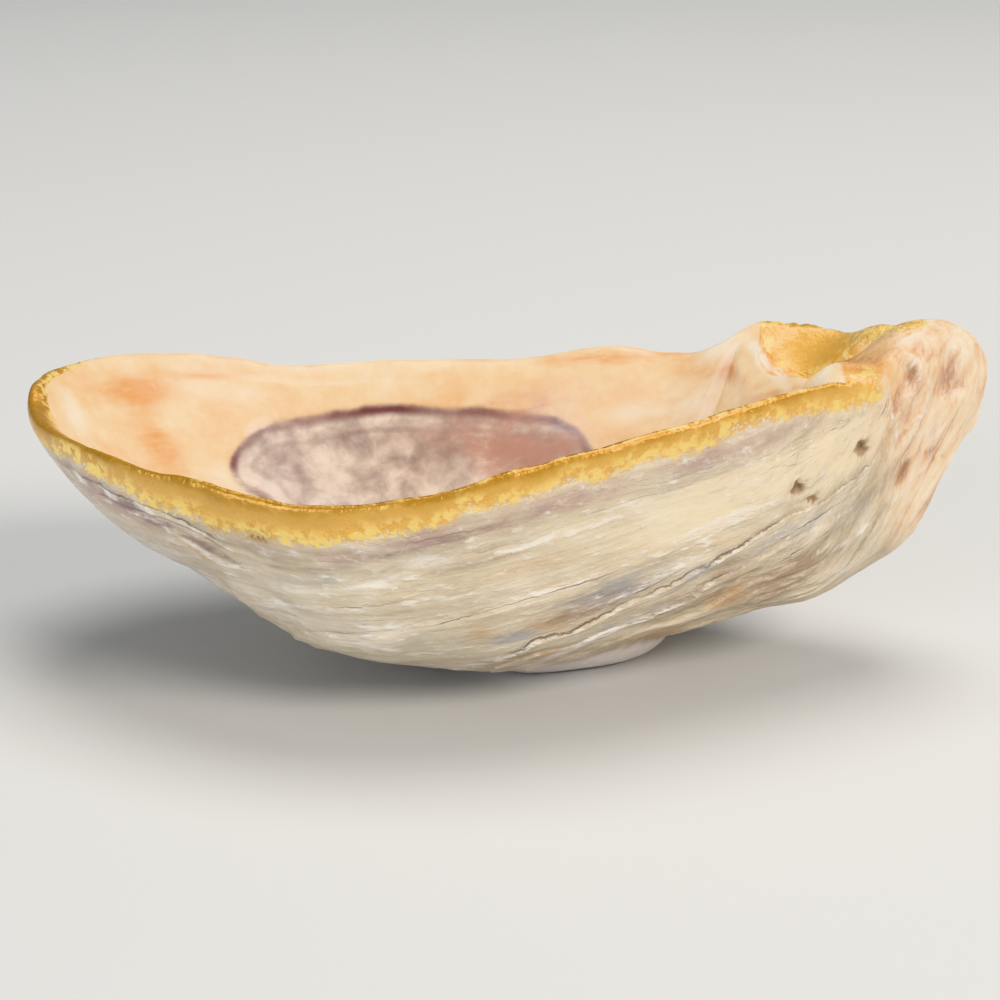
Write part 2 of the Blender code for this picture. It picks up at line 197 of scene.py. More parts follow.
def picturePlace(point):
    ahead, upward, eye = viewAxes()
    offset = point - eye
    scale = viewpoint["pixelsPerMm"] * viewpoint["distance"] / (offset @ ahead)
    half = viewpoint["picture"] / 2
    return np.stack([half + offset[..., 0] * scale, half - (offset @ upward) * scale], axis=-1)


def facingView(point, normal):
    ahead, upward, eye = viewAxes()
    away = eye - point
    return (away * normal).sum(axis=-1) / np.linalg.norm(away, axis=-1)


def pathGap(pixel, path):
    # Distance in pixels from a drawn path, above it counts as positive; also how far along it, and its values
    path = np.array(path, float)
    best = np.full(pixel.shape[:-1], 1e9)
    gap, along, value = np.zeros_like(best), np.zeros_like(best), np.zeros_like(best)
    walked = 0.0
    for start, end in zip(path[:-1], path[1:]):
        step = end[:2] - start[:2]
        span = np.hypot(*step)
        offset = pixel - start[:2]
        part = np.clip((offset @ step) / span ** 2, 0.0, 1.0)
        distance = np.hypot(*np.moveaxis(offset - part[..., None] * step, -1, 0))
        above = step[1] * offset[..., 0] - step[0] * offset[..., 1]
        closer = distance < best
        best = np.where(closer, distance, best)
        gap = np.where(closer, np.where(above < 0, -distance, distance), gap)
        along = np.where(closer, walked + part * span, along)
        if path.shape[1] > 2:
            value = np.where(closer, start[2] + part * (end[2] - start[2]), value)
        walked += span
    return gap, along, walked, value


def finePath(path, perStep=4):
    return smoothList(path, np.linspace(0.0, 1.0, (len(path) - 1) * perStep + 1))


def outlineGap(pixel, outline):
    # Distance in pixels inside a closed outline, outside it is negative
    closed = finePath(list(outline) + [outline[0]])
    gap = np.abs(pathGap(pixel, closed)[0])
    inside = np.zeros(pixel.shape[:-1], bool)
    for start, end in zip(closed[:-1], closed[1:]):
        if start[1] == end[1]:
            continue
        spans = (start[1] > pixel[..., 1]) != (end[1] > pixel[..., 1])
        crossing = start[0] + (pixel[..., 1] - start[1]) / (end[1] - start[1]) * (end[0] - start[0])
        inside ^= spans & (pixel[..., 0] < crossing)
    return np.where(inside, gap, -gap)


# Pitch of the fine mesh
pitch = {
    "sideLines": 136, "hingeLines": 64,     # lines on each side of the valve, and across the hinge
    "lineCrowding": 0.75,         # evens out the lines between corner and tip
    "solidSideLines": 26, "solidHingeLines": 16, "solidCrowding": 1.6,
    "ledgeFrom": 0.1, "hingeLedges": 0.05,  # the ledges fade out toward the hinge's corners and over it
    "ringGap": 0.0062,            # share of growth between plain rings
    "bowlRings": 58,
}


def valveLines():
    # For each line from beak to rim: end share, side (-1 near, 0 hinge, 1 far), start, ledge share, turn
    total = 2 * pitch["solidSideLines"] + pitch["solidHingeLines"]
    corner = pitch["solidSideLines"] / total
    hinge = pitch["solidHingeLines"] / total

    def sideRows(side, share, count):
        step = np.linspace(0.0, 1.0, count + 1) ** pitch["lineCrowding"]
        reach = growthAngle(share) + (math.pi / 2 - growthAngle(share)) * step ** pitch["solidCrowding"]
        cornerStart = np.clip(1 - step / form["cornerReach"], 0.0, 1.0)
        start = form["lineStart"] * (1 - step) + (1 - form["lineStart"]) * cornerStart
        turn = (1 - step) * corner if side < 0 else corner + hinge + step * corner
        ledges = np.clip(step / pitch["ledgeFrom"], 0.0, 1.0)
        return np.column_stack([np.sin(reach) ** 2, np.full_like(step, side), start, ledges, turn])

    near = sideRows(-1.0, form["hingeLip"][0][0], pitch["sideLines"])[::-1]
    far = sideRows(1.0, form["hingeLip"][-1][0], pitch["sideLines"])[:-1]
    place = np.linspace(0.0, 1.0, pitch["hingeLines"] + 1)[1:-1]
    lip = smoothList(form["hingeLip"], place)
    ones = np.ones_like(place)
    ledges = pitch["hingeLedges"] * ones
    middle = np.column_stack([lip[:, 0], 0 * ones, lip[:, 1], ledges, corner + hinge * place])
    return np.vstack([near, middle, far])


def underside(share, across, side):
    rim = np.where(side < 0, *edgesAt(share, 2))
    power = form["squareEnds"] + (form["squareMiddle"] - form["squareEnds"]) * np.sin(math.pi * share)
    keel = readAlong(form["keel"], share)
    return keel + (rim - keel) * np.abs(across) ** power


def hingeTop(share, across, x, y):
    near, far = edgesAt(share, 2)
    level = near + (far - near) * (across + 1) / 2
    crown = readAlong(form["crown"], share) * (1 - np.abs(across) ** form["crownRounding"])
    groove, scoop = form["groove"], form["scoop"]
    cut = groove["depth"] * np.exp(-((across - groove["middle"]) / groove["halfWidth"]) ** 2)
    cut = cut * ramp(share, *groove["start"]) * ramp(share, *groove["end"])
    flat = np.stack([x + 0 * y, y], axis=-1)
    top = level + crown - cut
    for spot, rise in ((scoop, -scoop["depth"]), (form["nearSwell"], form["nearSwell"]["rise"])):
        reach = (((flat - np.array(spot["middle"])) / np.array(spot["radii"])) ** 2).sum(axis=-1)
        top = top + rise * np.clip(1 - reach, 0.0, 1.0) ** 2
    for start, end, halfWidth, rise in form["hingeRidges"]:
        step = np.array(end) - np.array(start)
        part = np.clip((flat - np.array(start)) @ step / (step @ step), 0.0, 1.0)
        away = np.linalg.norm(flat - np.array(start) - part[..., None] * step, axis=-1)
        top = top + rise * np.exp(-(away / halfWidth) ** 2)
    return top


def smoothOutside(growth, lines):
    end, side, start = (lines[None, :, column] for column in range(3))
    share = growth * end
    x = high[0] - length * share
    middle = keelY(share)
    near, far = edgesAt(share, 1)
    half = np.where((side < 0) | ((side == 0) & (start < 0)), middle - near, far - middle)
    half = np.maximum(half, tiny)
    rimY = np.where(side < 0, *edgesAt(end, 1))
    straight = np.abs(form["beakY"] + growth * (rimY - form["beakY"]) - middle) / half
    straight = np.clip(straight, small, 1.0)
    parallel = np.maximum(1 - (1 - start) * (1 - growth ** 2), small)
    tipward = ramp(end, *form["straight"])
    power = form["blendPower"]
    blend = ((straight ** -power * tipward + parallel ** -power) / (1 + tipward)) ** (-1 / power)
    across = np.where(side == 0, start, side * np.minimum(blend, 1.0))
    y = middle + across * half
    z = np.where(side == 0, hingeTop(share, across, x, y), underside(share, across, side))
    return np.stack([x + 0 * y, y, z], axis=2)


def outwardFrom(point):
    across = np.roll(point, -1, axis=1) - np.roll(point, 1, axis=1)
    normal = np.cross(across, np.gradient(point, axis=0))
    return normal / np.maximum(np.linalg.norm(normal, axis=2, keepdims=True), tiny)


# Layers of growth: growth runs from 0 at the beak to 1 at the rim, and places in it are shares
layers = {
    "ledges": [                   # place of the free edge, how far it stands out in mm, as in the solid
        (0.09, 0.30), (0.16, 0.45), (0.25, 0.30), (0.33, 0.55), (0.43, 0.35), (0.52, 0.55), (0.61, 0.60),
        (0.69, 0.85), (0.755, 0.60), (0.81, 0.40), (0.87, 0.50), (0.915, 0.30), (0.958, 0.80)],
    "fineCount": 26, "fineRise": (0.05, 0.16),        # thin layers between the ledges, and their mm
    "fineSpan": (0.12, 0.985), "apart": 0.009,        # where they lie, and the least gap between edges
    "firstRings": [0.004, 0.010, 0.018],              # rings that close the beak
    "start": 0.03, "face": 0.0036, "crevice": 0.10, "mean": 0.75, "seamAt": 0.7,
    "patchMm": (9.0, 5.0, 4.0),   # lengths over which ledges and thin layers come and go, and their width
    "ledgeShow": (-0.7, 0.3), "fineShow": (-0.25, 0.35),      # parts of that pattern where they show
    "fineCrevice": 0.3, "fineDark": 0.35,   # a thin layer's crevice and seam beside a ledge's
    # Least share of a ledge that shows and how much more: off the paths, and along them
    "ledgeShare": (0.2, 0.5), "pathShare": (0.1, 0.9),
    "lastLedges": (0.55, 0.6),    # near side's ledges past this place have this share where no path runs
    "patchSeed": 31,
    "ringWaves": [(3, 9, 0.016), (7, -14, 0.011), (12, 31, 0.008)],
    "ledgeWaves": [(5, 40, 0.25), (11, 90, 0.2)],
    "ragged": 0.0032,             # how far a free edge wanders over a few mm, as a share of growth
    "growMm": 58.0,               # length of the middle lines from beak to rim
    "ringMm": 30.0,               # radius of a circle as long as the rim
    "beakLean": math.radians(28),
    "seed": 7,
    # The rings bend onto the paths below: first place that moves, and how far apart rings stay
    "bendFrom": 0.45, "bendApart": 0.012, "bendTable": (0.25, 1.0, 301), "bendPx": 12, "bendFade": 40,
    "unseen": 0.35,               # how clear an edge is past the ends of its path
    # Where the near side's free edges run: u, v, how clear the edge is there
    "paths": {
        0.958: [
            (40, 447, 0.4), (54, 456, 0.7), (77, 467, 0.9), (95, 478, 1), (120, 494, 1), (147, 508, 0.8),
            (165, 517, 0.9), (188, 528, 1), (208, 539, 1), (224, 551, 1), (238, 558, 0.7), (265, 563, 0.4),
            (297, 568, 0.3), (333, 566, 0.3), (377, 554, 0.3), (412, 543, 0.5), (470, 531, 0.5),
            (533, 517, 0.3), (587, 500, 0.1), (640, 482, 0.1), (700, 463, 0.1), (748, 446, 0.1),
            (790, 434, 0.1), (832, 422, 0.1), (868, 412, 0.1)],
        0.915: [
            (225, 577, 0.1), (260, 585, 0.2), (300, 592, 0.3), (340, 591, 0.3), (374, 582, 0.4),
            (419, 567, 0.2), (450, 560, 0.2), (484, 552, 0.5), (519, 546, 0.4), (545, 536, 0.4),
            (587, 524, 0.3), (640, 510, 0.1), (700, 490, 0.1), (760, 467, 0.3), (803, 449, 0.5),
            (840, 432, 0.3), (868, 418, 0.2), (885, 404, 0.1)],
        0.87: [
            (290, 632, 0.4), (330, 632, 0.7), (367, 634, 0.7), (400, 630, 0.5), (428, 622, 0.5),
            (461, 618, 0.5), (498, 607, 0.6), (535, 595, 0.5), (580, 582, 0.6), (633, 561, 0.3),
            (680, 541, 0.2), (717, 525, 0.4), (773, 502, 0.3), (812, 482, 0.3), (845, 456, 0.3),
            (873, 428, 0.2), (892, 406, 0.1)],
        0.81: [
            (497, 661, 0.4), (521, 650, 1), (533, 641, 1), (554, 635, 1), (577, 629, 1), (601, 617, 1),
            (619, 607, 1), (640, 599, 0.9), (661, 590, 0.8), (700, 566, 0.9), (728, 550, 1), (773, 525, 1),
            (819, 505, 0.8), (841, 489, 0.8), (864, 469, 0.8), (887, 441, 0.7), (900, 425, 0.5),
            (908, 402, 0.4)],
        0.755: [
            (461, 668, 0.5), (479, 664, 0.8), (512, 662, 0.8), (540, 651, 0.8), (577, 643, 0.8),
            (605, 631, 0.8), (646, 617, 0.7), (680, 600, 0.7), (705, 581, 0.7), (739, 563, 0.6),
            (785, 543, 0.5), (830, 518, 0.5), (868, 489, 0.5), (896, 457, 0.4), (915, 427, 0.3)],
    },
}


def waves(table, turn, place):
    return sum(strength * np.sin(count * turn + shift * place) for count, shift, strength in table)


def layerEdges():
    # Every free edge from beak to rim: place, rise, and whether it is a ledge of the solid
    chance = np.random.RandomState(layers["seed"])
    edges = [(place, rise, True) for place, rise in layers["ledges"]]
    taken = [place for place, rise in layers["ledges"]] + [1.0]
    for place in np.sort(chance.uniform(*layers["fineSpan"], layers["fineCount"])):
        if min(abs(place - other) for other in taken) > layers["apart"]:
            edges.append((place, chance.uniform(*layers["fineRise"]), False))
            taken.append(place)
    return sorted(edges)


def ringShares(edges):
    fixed = layers["firstRings"] + [layers["start"], 1.0]
    for edge in edges:
        fixed += [edge[0], edge[0] + layers["face"]]
    fixed = sorted(fixed)
    shares = []
    for left, right in zip(fixed, fixed[1:]):
        count = max(1, round((right - left) / pitch["ringGap"]))
        shares += list(np.linspace(left, right, count, endpoint=False))
    return np.array(shares + [1.0])


def layerPlace(growth, turn):
    # Places in mm that follow the layers and join round the valve without a seam
    angle = 2 * math.pi * turn
    round1 = np.cos(angle) * layers["ringMm"] + 0 * growth
    round2 = np.sin(angle) * layers["ringMm"] + 0 * growth
    return np.stack([round1, round2, growth * layers["growMm"] + 0 * angle], axis=-1)


def streaks(place, alongMm, growMm, seed):
    return grain(place / np.array([alongMm, alongMm, growMm]), seed)


def beakGrain(point, alongMm, acrossMm, seed):
    # Folds of the beak run down it, and lean away from the tip toward the top
    lean = layers["beakLean"]
    along = point[..., 0] * math.sin(lean) + point[..., 2] * math.cos(lean)
    across = point[..., 0] * math.cos(lean) - point[..., 2] * math.sin(lean)
    return grain(np.stack([across / acrossMm, point[..., 1] / acrossMm, along / alongMm], axis=-1), seed)


def mixGrain(point, table):
    # Lumps of several sizes: amount and size in mm, seed
    return sum(amount * grain(point / size, seed) for amount, size, seed in table)


def mixStreaks(place, table):
    # Streaks of several sizes: amount, length along the layers and width across them in mm, seed
    return sum(amount * streaks(place, along, across, seed) for amount, along, across, seed in table)


def pathShift(gap, along, walked, value, table, place):
    # How far each near line's ring moves to meet a drawn path, and how clear the edge is there
    known, found, strength = [], [], []
    for line in range(gap.shape[1]):
        crossing = np.nonzero((gap[:-1, line] < 0) & (gap[1:, line] >= 0))[0]
        if not len(crossing):
            continue
        row = crossing[-1]
        if 1 < along[row, line] < walked - 1 and abs(gap[row, line]) < layers["bendPx"]:
            part = gap[row, line] / (gap[row, line] - gap[row + 1, line])
            known.append(line)
            found.append(table[row] + part * (table[1] - table[0]) - place)
            strength.append(value[row, line])
    every = np.arange(gap.shape[1])
    clear = np.interp(every, known, strength)
    clear[:known[0]] = clear[known[-1] + 1:] = layers["unseen"]
    return np.interp(every, known, found), clear


def bentRings(even, lines):
    # Shifts the rings so that the near side's ledges run along their drawn paths
    nearCount = pitch["sideLines"] + 1
    table = np.linspace(*layers["bendTable"])
    pixel = picturePlace(smoothOutside(table[:, None] + 0 * lines[None, :nearCount, 0], lines[:nearCount]))
    places, shifts, clear = [layers["bendFrom"]], [np.zeros(nearCount)], {}
    for place, path in sorted(layers["paths"].items()):
        shift, strength = pathShift(*pathGap(pixel, finePath(path)), table, place)
        places.append(place)
        shifts.append(shift)
        clear[place] = np.append(strength, np.zeros(len(lines) - nearCount))
    places = np.array(places + [1.0])
    targets = np.array(shifts + [np.zeros(nearCount)]) + places[:, None]
    for row in range(len(places) - 2, 0, -1):
        targets[row] = np.minimum(targets[row], targets[row + 1] - layers["bendApart"])
    growth = even.copy()
    for line in range(nearCount):
        growth[:, line] = np.interp(even[:, line], np.append(0.0, places), np.append(0.0, targets[:, line]))
    # The bend dies away past the tip and past the hinge corner
    for step in range(1, layers["bendFade"]):
        fade = 1 - smoothRamp(step, 0, layers["bendFade"])
        for line, last in ((-step, 0), (nearCount - 1 + step, nearCount - 1)):
            growth[:, line] = even[:, line] + fade * (growth[:, last] - even[:, last])
    return growth, clear


# Surface of the outside, the hollow and the rim
surface = {
    "cornerLines": 13.0, "cornerFrom": (29.5, 32.5), "cornerPasses": 120,     # rounds plate into flanks
    "ringRoom": 40.0, "lineRoom": 12.0,     # mm for all growth, or one turn, under which ledges shrink
    "knob": (27.0, 33.5), "knobLean": 0.25, "knobLevel": 20.0,      # x where the beak's knob begins
    "plateEnd": 32.5, "plateFade": 4.0,     # x where the hinge plate's colour ends
    "lower": (3.5, 7.0),                    # z over which the lump's smooth stone ends
    # Share of the layers' relief lost on the knob, and what the lump and the hinge plate keep of theirs
    "knobCalm": 0.6, "lumpRelief": 0.35, "lumpSeams": 0.2, "plateRelief": 0.35,
    "seamReach": (1.4, 0.7),                # most of a seam's mark, and the mm that it fades over
    "folded": (3.0, 20.0), "foldedMore": 0.9,               # x over which the flank's streaks deepen
    "tip": (5.0, 25.0), "tipRim": (0.88, 0.96),             # -x over which the tip grows lumpy
    # Amount, size or length and width, seed: all in mm but the ragged edges
    "ragged": [(1.0, 2.6, 9.0, 11), (0.6, 1.1, 5.0, 12)],
    "streaks": [(0.22, 12.0, 3.4, 21), (0.11, 4.5, 1.4, 22), (0.06, 2.2, 0.8, 23)],
    "lumps": [(0.14, 5.0, 25), (0.08, 2.3, 26), (0.035, 1.0, 27)],
    "tipLumps": [(0.8, 2.9, 24), (0.16, 1.4, 30)],
    "beakFolds": [(0.34, 5.0, 2.0, 28), (0.22, 3.0, 0.9, 29)],
    "hollowLumps": [(0.10, 7.0, 41), (0.04, 3.0, 42)],
    "rimLumps": [(0.12, 2.6, 43)], "rimReach": 2.5,
}


def roundCorners(point, even, lines):
    # Round the valve over where the hinge plate meets the flanks, near the beak
    line = np.arange(len(lines))[None, :]
    corners = sum(np.exp(-((line - corner) / surface["cornerLines"]) ** 2) for corner in
                  (pitch["sideLines"] + 2, pitch["sideLines"] + pitch["hingeLines"]))
    weight = smoothRamp(point[..., 0], *surface["cornerFrom"]) * smoothRamp(even, 0.0, 0.05)
    weight = (weight * np.minimum(corners, 1.0))[..., None]
    for _ in range(surface["cornerPasses"]):
        middle = (np.roll(point, 1, axis=1) + np.roll(point, -1, axis=1)) / 2
        point = point + 0.5 * weight * (middle - point)
    return point


def ledgeRoom(point, even, angle):
    # Mm of shell for each unit of growth, and how much of a ledge has room where rings or lines bunch
    growing = np.gradient(point, even[:, 0], axis=0)
    gapAngle = (np.roll(angle, -1, axis=1) - np.roll(angle, 1, axis=1)) % (2 * math.pi)
    turning = (np.roll(point, -1, axis=1) - np.roll(point, 1, axis=1)) / gapAngle[..., None]
    area = np.linalg.norm(np.cross(growing, turning), axis=2)
    ringRoom = area / np.maximum(np.linalg.norm(turning, axis=2), tiny)
    lineRoom = area / np.maximum(np.linalg.norm(growing, axis=2), tiny)
    room = np.minimum(ringRoom / surface["ringRoom"], 1.0) * np.minimum(lineRoom / surface["lineRoom"], 1.0)
    return ringRoom, room


def layerRelief(even, turn, side, edges, clear, ringRoom):
    # Height of the layers, signed mm from the nearest seam, and how clear that seam is
    height, seamDark = np.zeros_like(ringRoom), np.zeros_like(ringRoom)
    seamGap = np.full_like(ringRoom, farAway)
    start, face = layers["start"], layers["face"]
    ledgeMm, fineMm, acrossMm = layers["patchMm"]
    for number, (free, rise, isLedge) in enumerate(edges):
        swell = rise * (layers["mean"] + waves(layers["ledgeWaves"], 2 * math.pi * turn, free))
        patch = layerPlace(np.full_like(turn, free), turn)
        patch = streaks(patch, ledgeMm if isLedge else fineMm, acrossMm, layers["patchSeed"] + number)
        crevice, seam = (1.0, 1.0) if isLedge else (layers["fineCrevice"], layers["fineDark"])
        if isLedge:
            least, more = layers["ledgeShare"]
            show = least + more * smoothRamp(patch, *layers["ledgeShow"])
            least, more = layers["pathShare"]
            lastFrom, lastShare = layers["lastLedges"]
            if free in clear:
                show = np.where(side < 0, least + more * clear[free][None, :], show)
            elif free > lastFrom:
                show = np.where(side < 0, lastShare * show, show)
        else:
            show = smoothRamp(patch, *layers["fineShow"])
        layer = (even > start + tiny) & (even <= free + tiny)
        height = np.where(layer, swell * show * ramp(even, start, free) ** 2, height)
        after = (even > free + tiny) & (even <= free + face + tiny)
        height = np.where(after, -layers["crevice"] * show * crevice, height)
        gap = (even - free - face * layers["seamAt"]) * ringRoom
        closer = np.abs(gap) < np.abs(seamGap)
        seamGap = np.where(closer, gap, seamGap)
        seamDark = np.where(closer, show ** 2 * seam, seamDark)
        if isLedge:
            start = free + face
    return height, seamGap, seamDark


def outerSkin(lines, even, edges):
    side, turn = lines[None, :, 1], lines[None, :, 4]
    angle = 2 * math.pi * turn
    bent, clear = bentRings(even, lines)
    ragged = mixStreaks(layerPlace(even, turn), surface["ragged"]) * layers["ragged"]
    ragged = ragged * ramp(1 - even, 0.0, 0.03) * smoothRamp(even, 0.1, 0.4) * np.abs(side)
    wander = waves(layers["ringWaves"], angle, even) * even * (1 - even) * (side > 0)
    growth = np.clip(bent + wander + ragged, 0.0, 1.0)
    growth[-1] = 1.0
    point = roundCorners(smoothOutside(growth, lines), even, lines)
    normal = outwardFrom(point)

    ringRoom, room = ledgeRoom(point, even, angle)
    height, seamGap, seamDark = layerRelief(even, turn, side, edges, clear, ringRoom)
    knob = point[..., 0] + surface["knobLean"] * (point[..., 2] - surface["knobLevel"])
    knob = smoothRamp(knob, *surface["knob"])
    lower = smoothRamp(point[..., 2], *surface["lower"])
    height = height * lines[None, :, 3] * room * (1 - surface["knobCalm"] * knob)
    height = height * (surface["lumpRelief"] + (1 - surface["lumpRelief"]) * lower)
    seamDark = seamDark * smoothRamp(room, 0.1, 0.5) * np.abs(side) * (1 - knob)
    seamDark = seamDark * (surface["lumpSeams"] + (1 - surface["lumpSeams"]) * lower)
    reach, fadeMm = surface["seamReach"]
    seamDark = seamDark * np.clip(reach - np.abs(seamGap) / fadeMm, 0.0, 1.0)   # none between two seams

    flow = np.minimum(room * 2, 1.0) * np.abs(side) * (1 - knob)
    folded = 1 + surface["foldedMore"] * smoothRamp(point[..., 0], *surface["folded"])
    tipward = smoothRamp(-point[..., 0], *surface["tip"]) * np.abs(side)
    tipward = tipward * (1 - smoothRamp(even, *surface["tipRim"]))
    height = height + flow * folded * mixStreaks(layerPlace(growth, turn), surface["streaks"])
    height = height + mixGrain(point, surface["lumps"]) + tipward * mixGrain(point, surface["tipLumps"])
    height = height + knob * sum(amount * beakGrain(point, along, across, seed)
                                 for amount, along, across, seed in surface["beakFolds"])
    height = height * smoothRamp(even, 0.0, 0.06)
    height = height * (surface["plateRelief"] + (1 - surface["plateRelief"]) * np.abs(side))
    return point + normal * height[..., None], growth, seamGap, seamDark, knob


def bedHeight(x, y):
    share = np.clip((high[0] - x) / length, 0.0, 1.0)
    middle = keelY(share)
    half = np.abs(np.where(y < middle, *edgesAt(share, 1)) - middle)
    half = np.maximum(half - readAlong(form["wall"], share), 1.0)
    rim = np.where(y < middle, *edgesAt(share, 2)) - form["lipDrop"]
    floor = readAlong(form["keel"], share) + readAlong(form["floor"], share)
    across = np.clip(np.abs(y - middle) / half, 0.0, 1.0)
    return floor + np.maximum(rim - floor, 0.0) * across ** form["hollowSquare"]


def bowlSkin(rim):
    middle = np.array(form["hollowMiddle"])
    reach = rim[:, :2] - middle
    span = np.linalg.norm(reach, axis=1)
    rings = []
    for inward, drop in form["lipSteps"]:
        scale = (1.0 - form["lipWidth"] * inward / span)[:, None]
        rings.append(np.column_stack([middle + reach * scale, rim[:, 2] - form["lipDrop"] * drop]))
    mouth = rings[-1]
    wall = mouth[:, 2] - bedHeight(mouth[:, 0], mouth[:, 1])
    for step in range(1, pitch["bowlRings"]):
        scale = 1.0 - (step / pitch["bowlRings"]) ** form["hollowCrowding"]
        place = middle + (mouth[:, :2] - middle) * scale
        level = bedHeight(place[:, 0], place[:, 1]) + wall * scale ** form["hollowWall"]
        rings.append(np.column_stack([place, level]))
    return np.array(rings)


def ontoLump(point):
    # Points inside the lump move out to its surface, away from its middle, and stop at the ground
    lump = form["lump"]
    offset = point - np.array(lump["middle"])
    cos, sin = math.cos(lump["turn"]), math.sin(lump["turn"])
    local = np.stack([offset[..., 0] * cos + offset[..., 1] * sin,
                      offset[..., 1] * cos - offset[..., 0] * sin, offset[..., 2]], axis=-1)
    local = np.abs(local / np.array(lump["radii"]))
    local[..., 2] = np.where(offset[..., 2] > 0, local[..., 2] / lump["top"], local[..., 2])
    nearby = (local ** 2).sum(axis=-1) < lump["near"]
    spread = local[nearby]

    def within(scale):
        flat = scale ** 2 * (spread[:, 1] ** 2 + spread[:, 2] ** 2)
        return (scale * spread[:, 0]) ** lump["blunt"] + flat < 1

    nearest, furthest = np.ones(len(spread)), np.full(len(spread), lump["furthest"])
    inside = within(nearest)
    for _ in range(lump["halvings"]):
        guess = (nearest + furthest) / 2
        filled = within(guess)
        nearest, furthest = np.where(filled, guess, nearest), np.where(filled, furthest, guess)
    scale = np.ones(point.shape[:-1])
    scale[nearby] = np.where(inside, nearest, 1.0)
    moved = np.array(lump["middle"]) + offset * scale[..., None]
    moved[..., 2] = np.maximum(moved[..., 2], 0.0)
    return moved, smoothRamp(scale, 1.0, lump["edge"])


def roundRim(rings, crest, reach=9, passes=14):
    # Rounds the crest over about a millimetre, and sets it back out to where it was
    row = np.arange(len(rings))
    weight = np.clip(1.2 - np.abs(row - crest) / reach, 0.0, 1.0)[:, None, None]
    sharp = rings[crest].copy()
    for _ in range(passes):
        middle = rings.copy()
        middle[1:-1] = (rings[:-2] + rings[2:]) / 2
        rings = rings + 0.5 * weight * (middle - rings)
    return rings + np.exp(-((row - crest) / reach) ** 2)[:, None, None] * (sharp - rings[crest])


# Gold paint
gold = {
    "nearEdge": [                 # lower edge of the band on the near flank: u, v
        (34, 424), (54, 448), (74, 458), (95, 474), (115, 483), (138, 496), (156, 507), (179, 511),
        (201, 519), (213, 528), (233, 530), (260, 535), (281, 541), (321, 543), (342, 542), (367, 538),
        (398, 533), (430, 526), (451, 521), (462, 509), (490, 507), (514, 501), (533, 495), (554, 487),
        (577, 478), (591, 481), (610, 477), (629, 466), (664, 456), (700, 449), (724, 437), (748, 426),
        (765, 420), (784, 418), (808, 413), (832, 410), (851, 406), (867, 403), (879, 396), (884, 387),
        (878, 378)],
    "farWidth": 0.7,              # mm outside the crest of the far rim
    "tipWidth": 2.2, "tip": (0.95, 0.99), "farTip": (0.93, 1.0),
    # mm inside the crest, by the share of the length where a line ends
    "inside": [(0.0, 0.3), (0.1, 0.6), (0.25, 1.0), (0.5, 1.3), (0.8, 1.7), (1.0, 2.4)],
    "insideFar": [(0.0, -0.3), (0.9, -0.2), (0.96, 0.6), (1.0, 2.0)],
    "unseenMm": 6, "mostMm": 9, "cornerMm": 12,       # the brush got no further than this from the crest
    "seen": 0.02, "plateSeen": -0.9,          # how far a surface turns to the view where it is painted
    "overPlate": 3,               # lines of the far flank beside the hinge plate that are gilded with it
    "patches": [                  # on the hinge plate, along its far edge, and on the near corner
        [(755, 326), (773, 317), (800, 315), (832, 318), (860, 332), (852, 350), (836, 366), (815, 379),
         (798, 380), (783, 370), (769, 352)],
        [(856, 332), (880, 321), (905, 316), (925, 320), (918, 328), (893, 331), (872, 339), (860, 341)],
        [(818, 389), (836, 382), (852, 376), (866, 371), (877, 375), (884, 386), (879, 397), (860, 405),
         (838, 409), (820, 402)]],
}


def goldGap(pixel, facing, lines, rimMm, inner, hinge):
    # How far inside the painted area each point lies, in mm
    scale = viewpoint["pixelsPerMm"]
    end, side = lines[None, :, 0], lines[None, :, 1]
    band = pathGap(pixel, finePath(gold["nearEdge"], 2))[0] / scale
    tip = smoothRamp(end, *gold["tip"])
    near = band * (1 - tip) + (gold["tipWidth"] - rimMm) * tip
    near = np.where((facing > gold["seen"]) | (rimMm < gold["unseenMm"]), near, -farAway)
    widen = (gold["tipWidth"] - gold["farWidth"]) * smoothRamp(end, *gold["farTip"])
    outer = np.where(side < 0, near, gold["farWidth"] + widen - rimMm)
    outer = np.where(rimMm > gold["mostMm"], -farAway, outer)
    inward = [np.interp(end, *zip(*gold[name])) for name in ("inside", "insideFar")]
    gap = np.where(inner, np.where(side < 0, *inward) - rimMm, outer)
    gap = np.where(hinge, -farAway, gap)
    onPlate = (hinge | np.roll(hinge, gold["overPlate"], axis=-1)) & (side >= 0)
    onPlate = onPlate & (facing > gold["plateSeen"])
    onCorner = (facing > 0.0) & (rimMm < gold["cornerMm"])
    for outline, where in zip(gold["patches"], (onPlate, onPlate, onCorner)):
        gap = np.where(where & ~inner, np.maximum(gap, outlineGap(pixel, outline) / scale), gap)
    return np.clip(gap, -farAway, farAway)


# Scar of the muscle, on the hollow's floor
scar = {
    "outline": [
        (303, 417), (276, 419), (257, 427), (243, 438), (234, 452), (231, 467), (235, 481), (248, 491),
        (262, 497), (276, 512), (305, 532), (360, 548), (430, 552), (500, 540), (556, 512), (590, 474),
        (588, 440), (560, 420), (500, 410), (420, 406), (350, 410)],
    "sunk": 0.16, "edge": (-0.4, 0.2), "clearOfRim": 4,     # mm
}

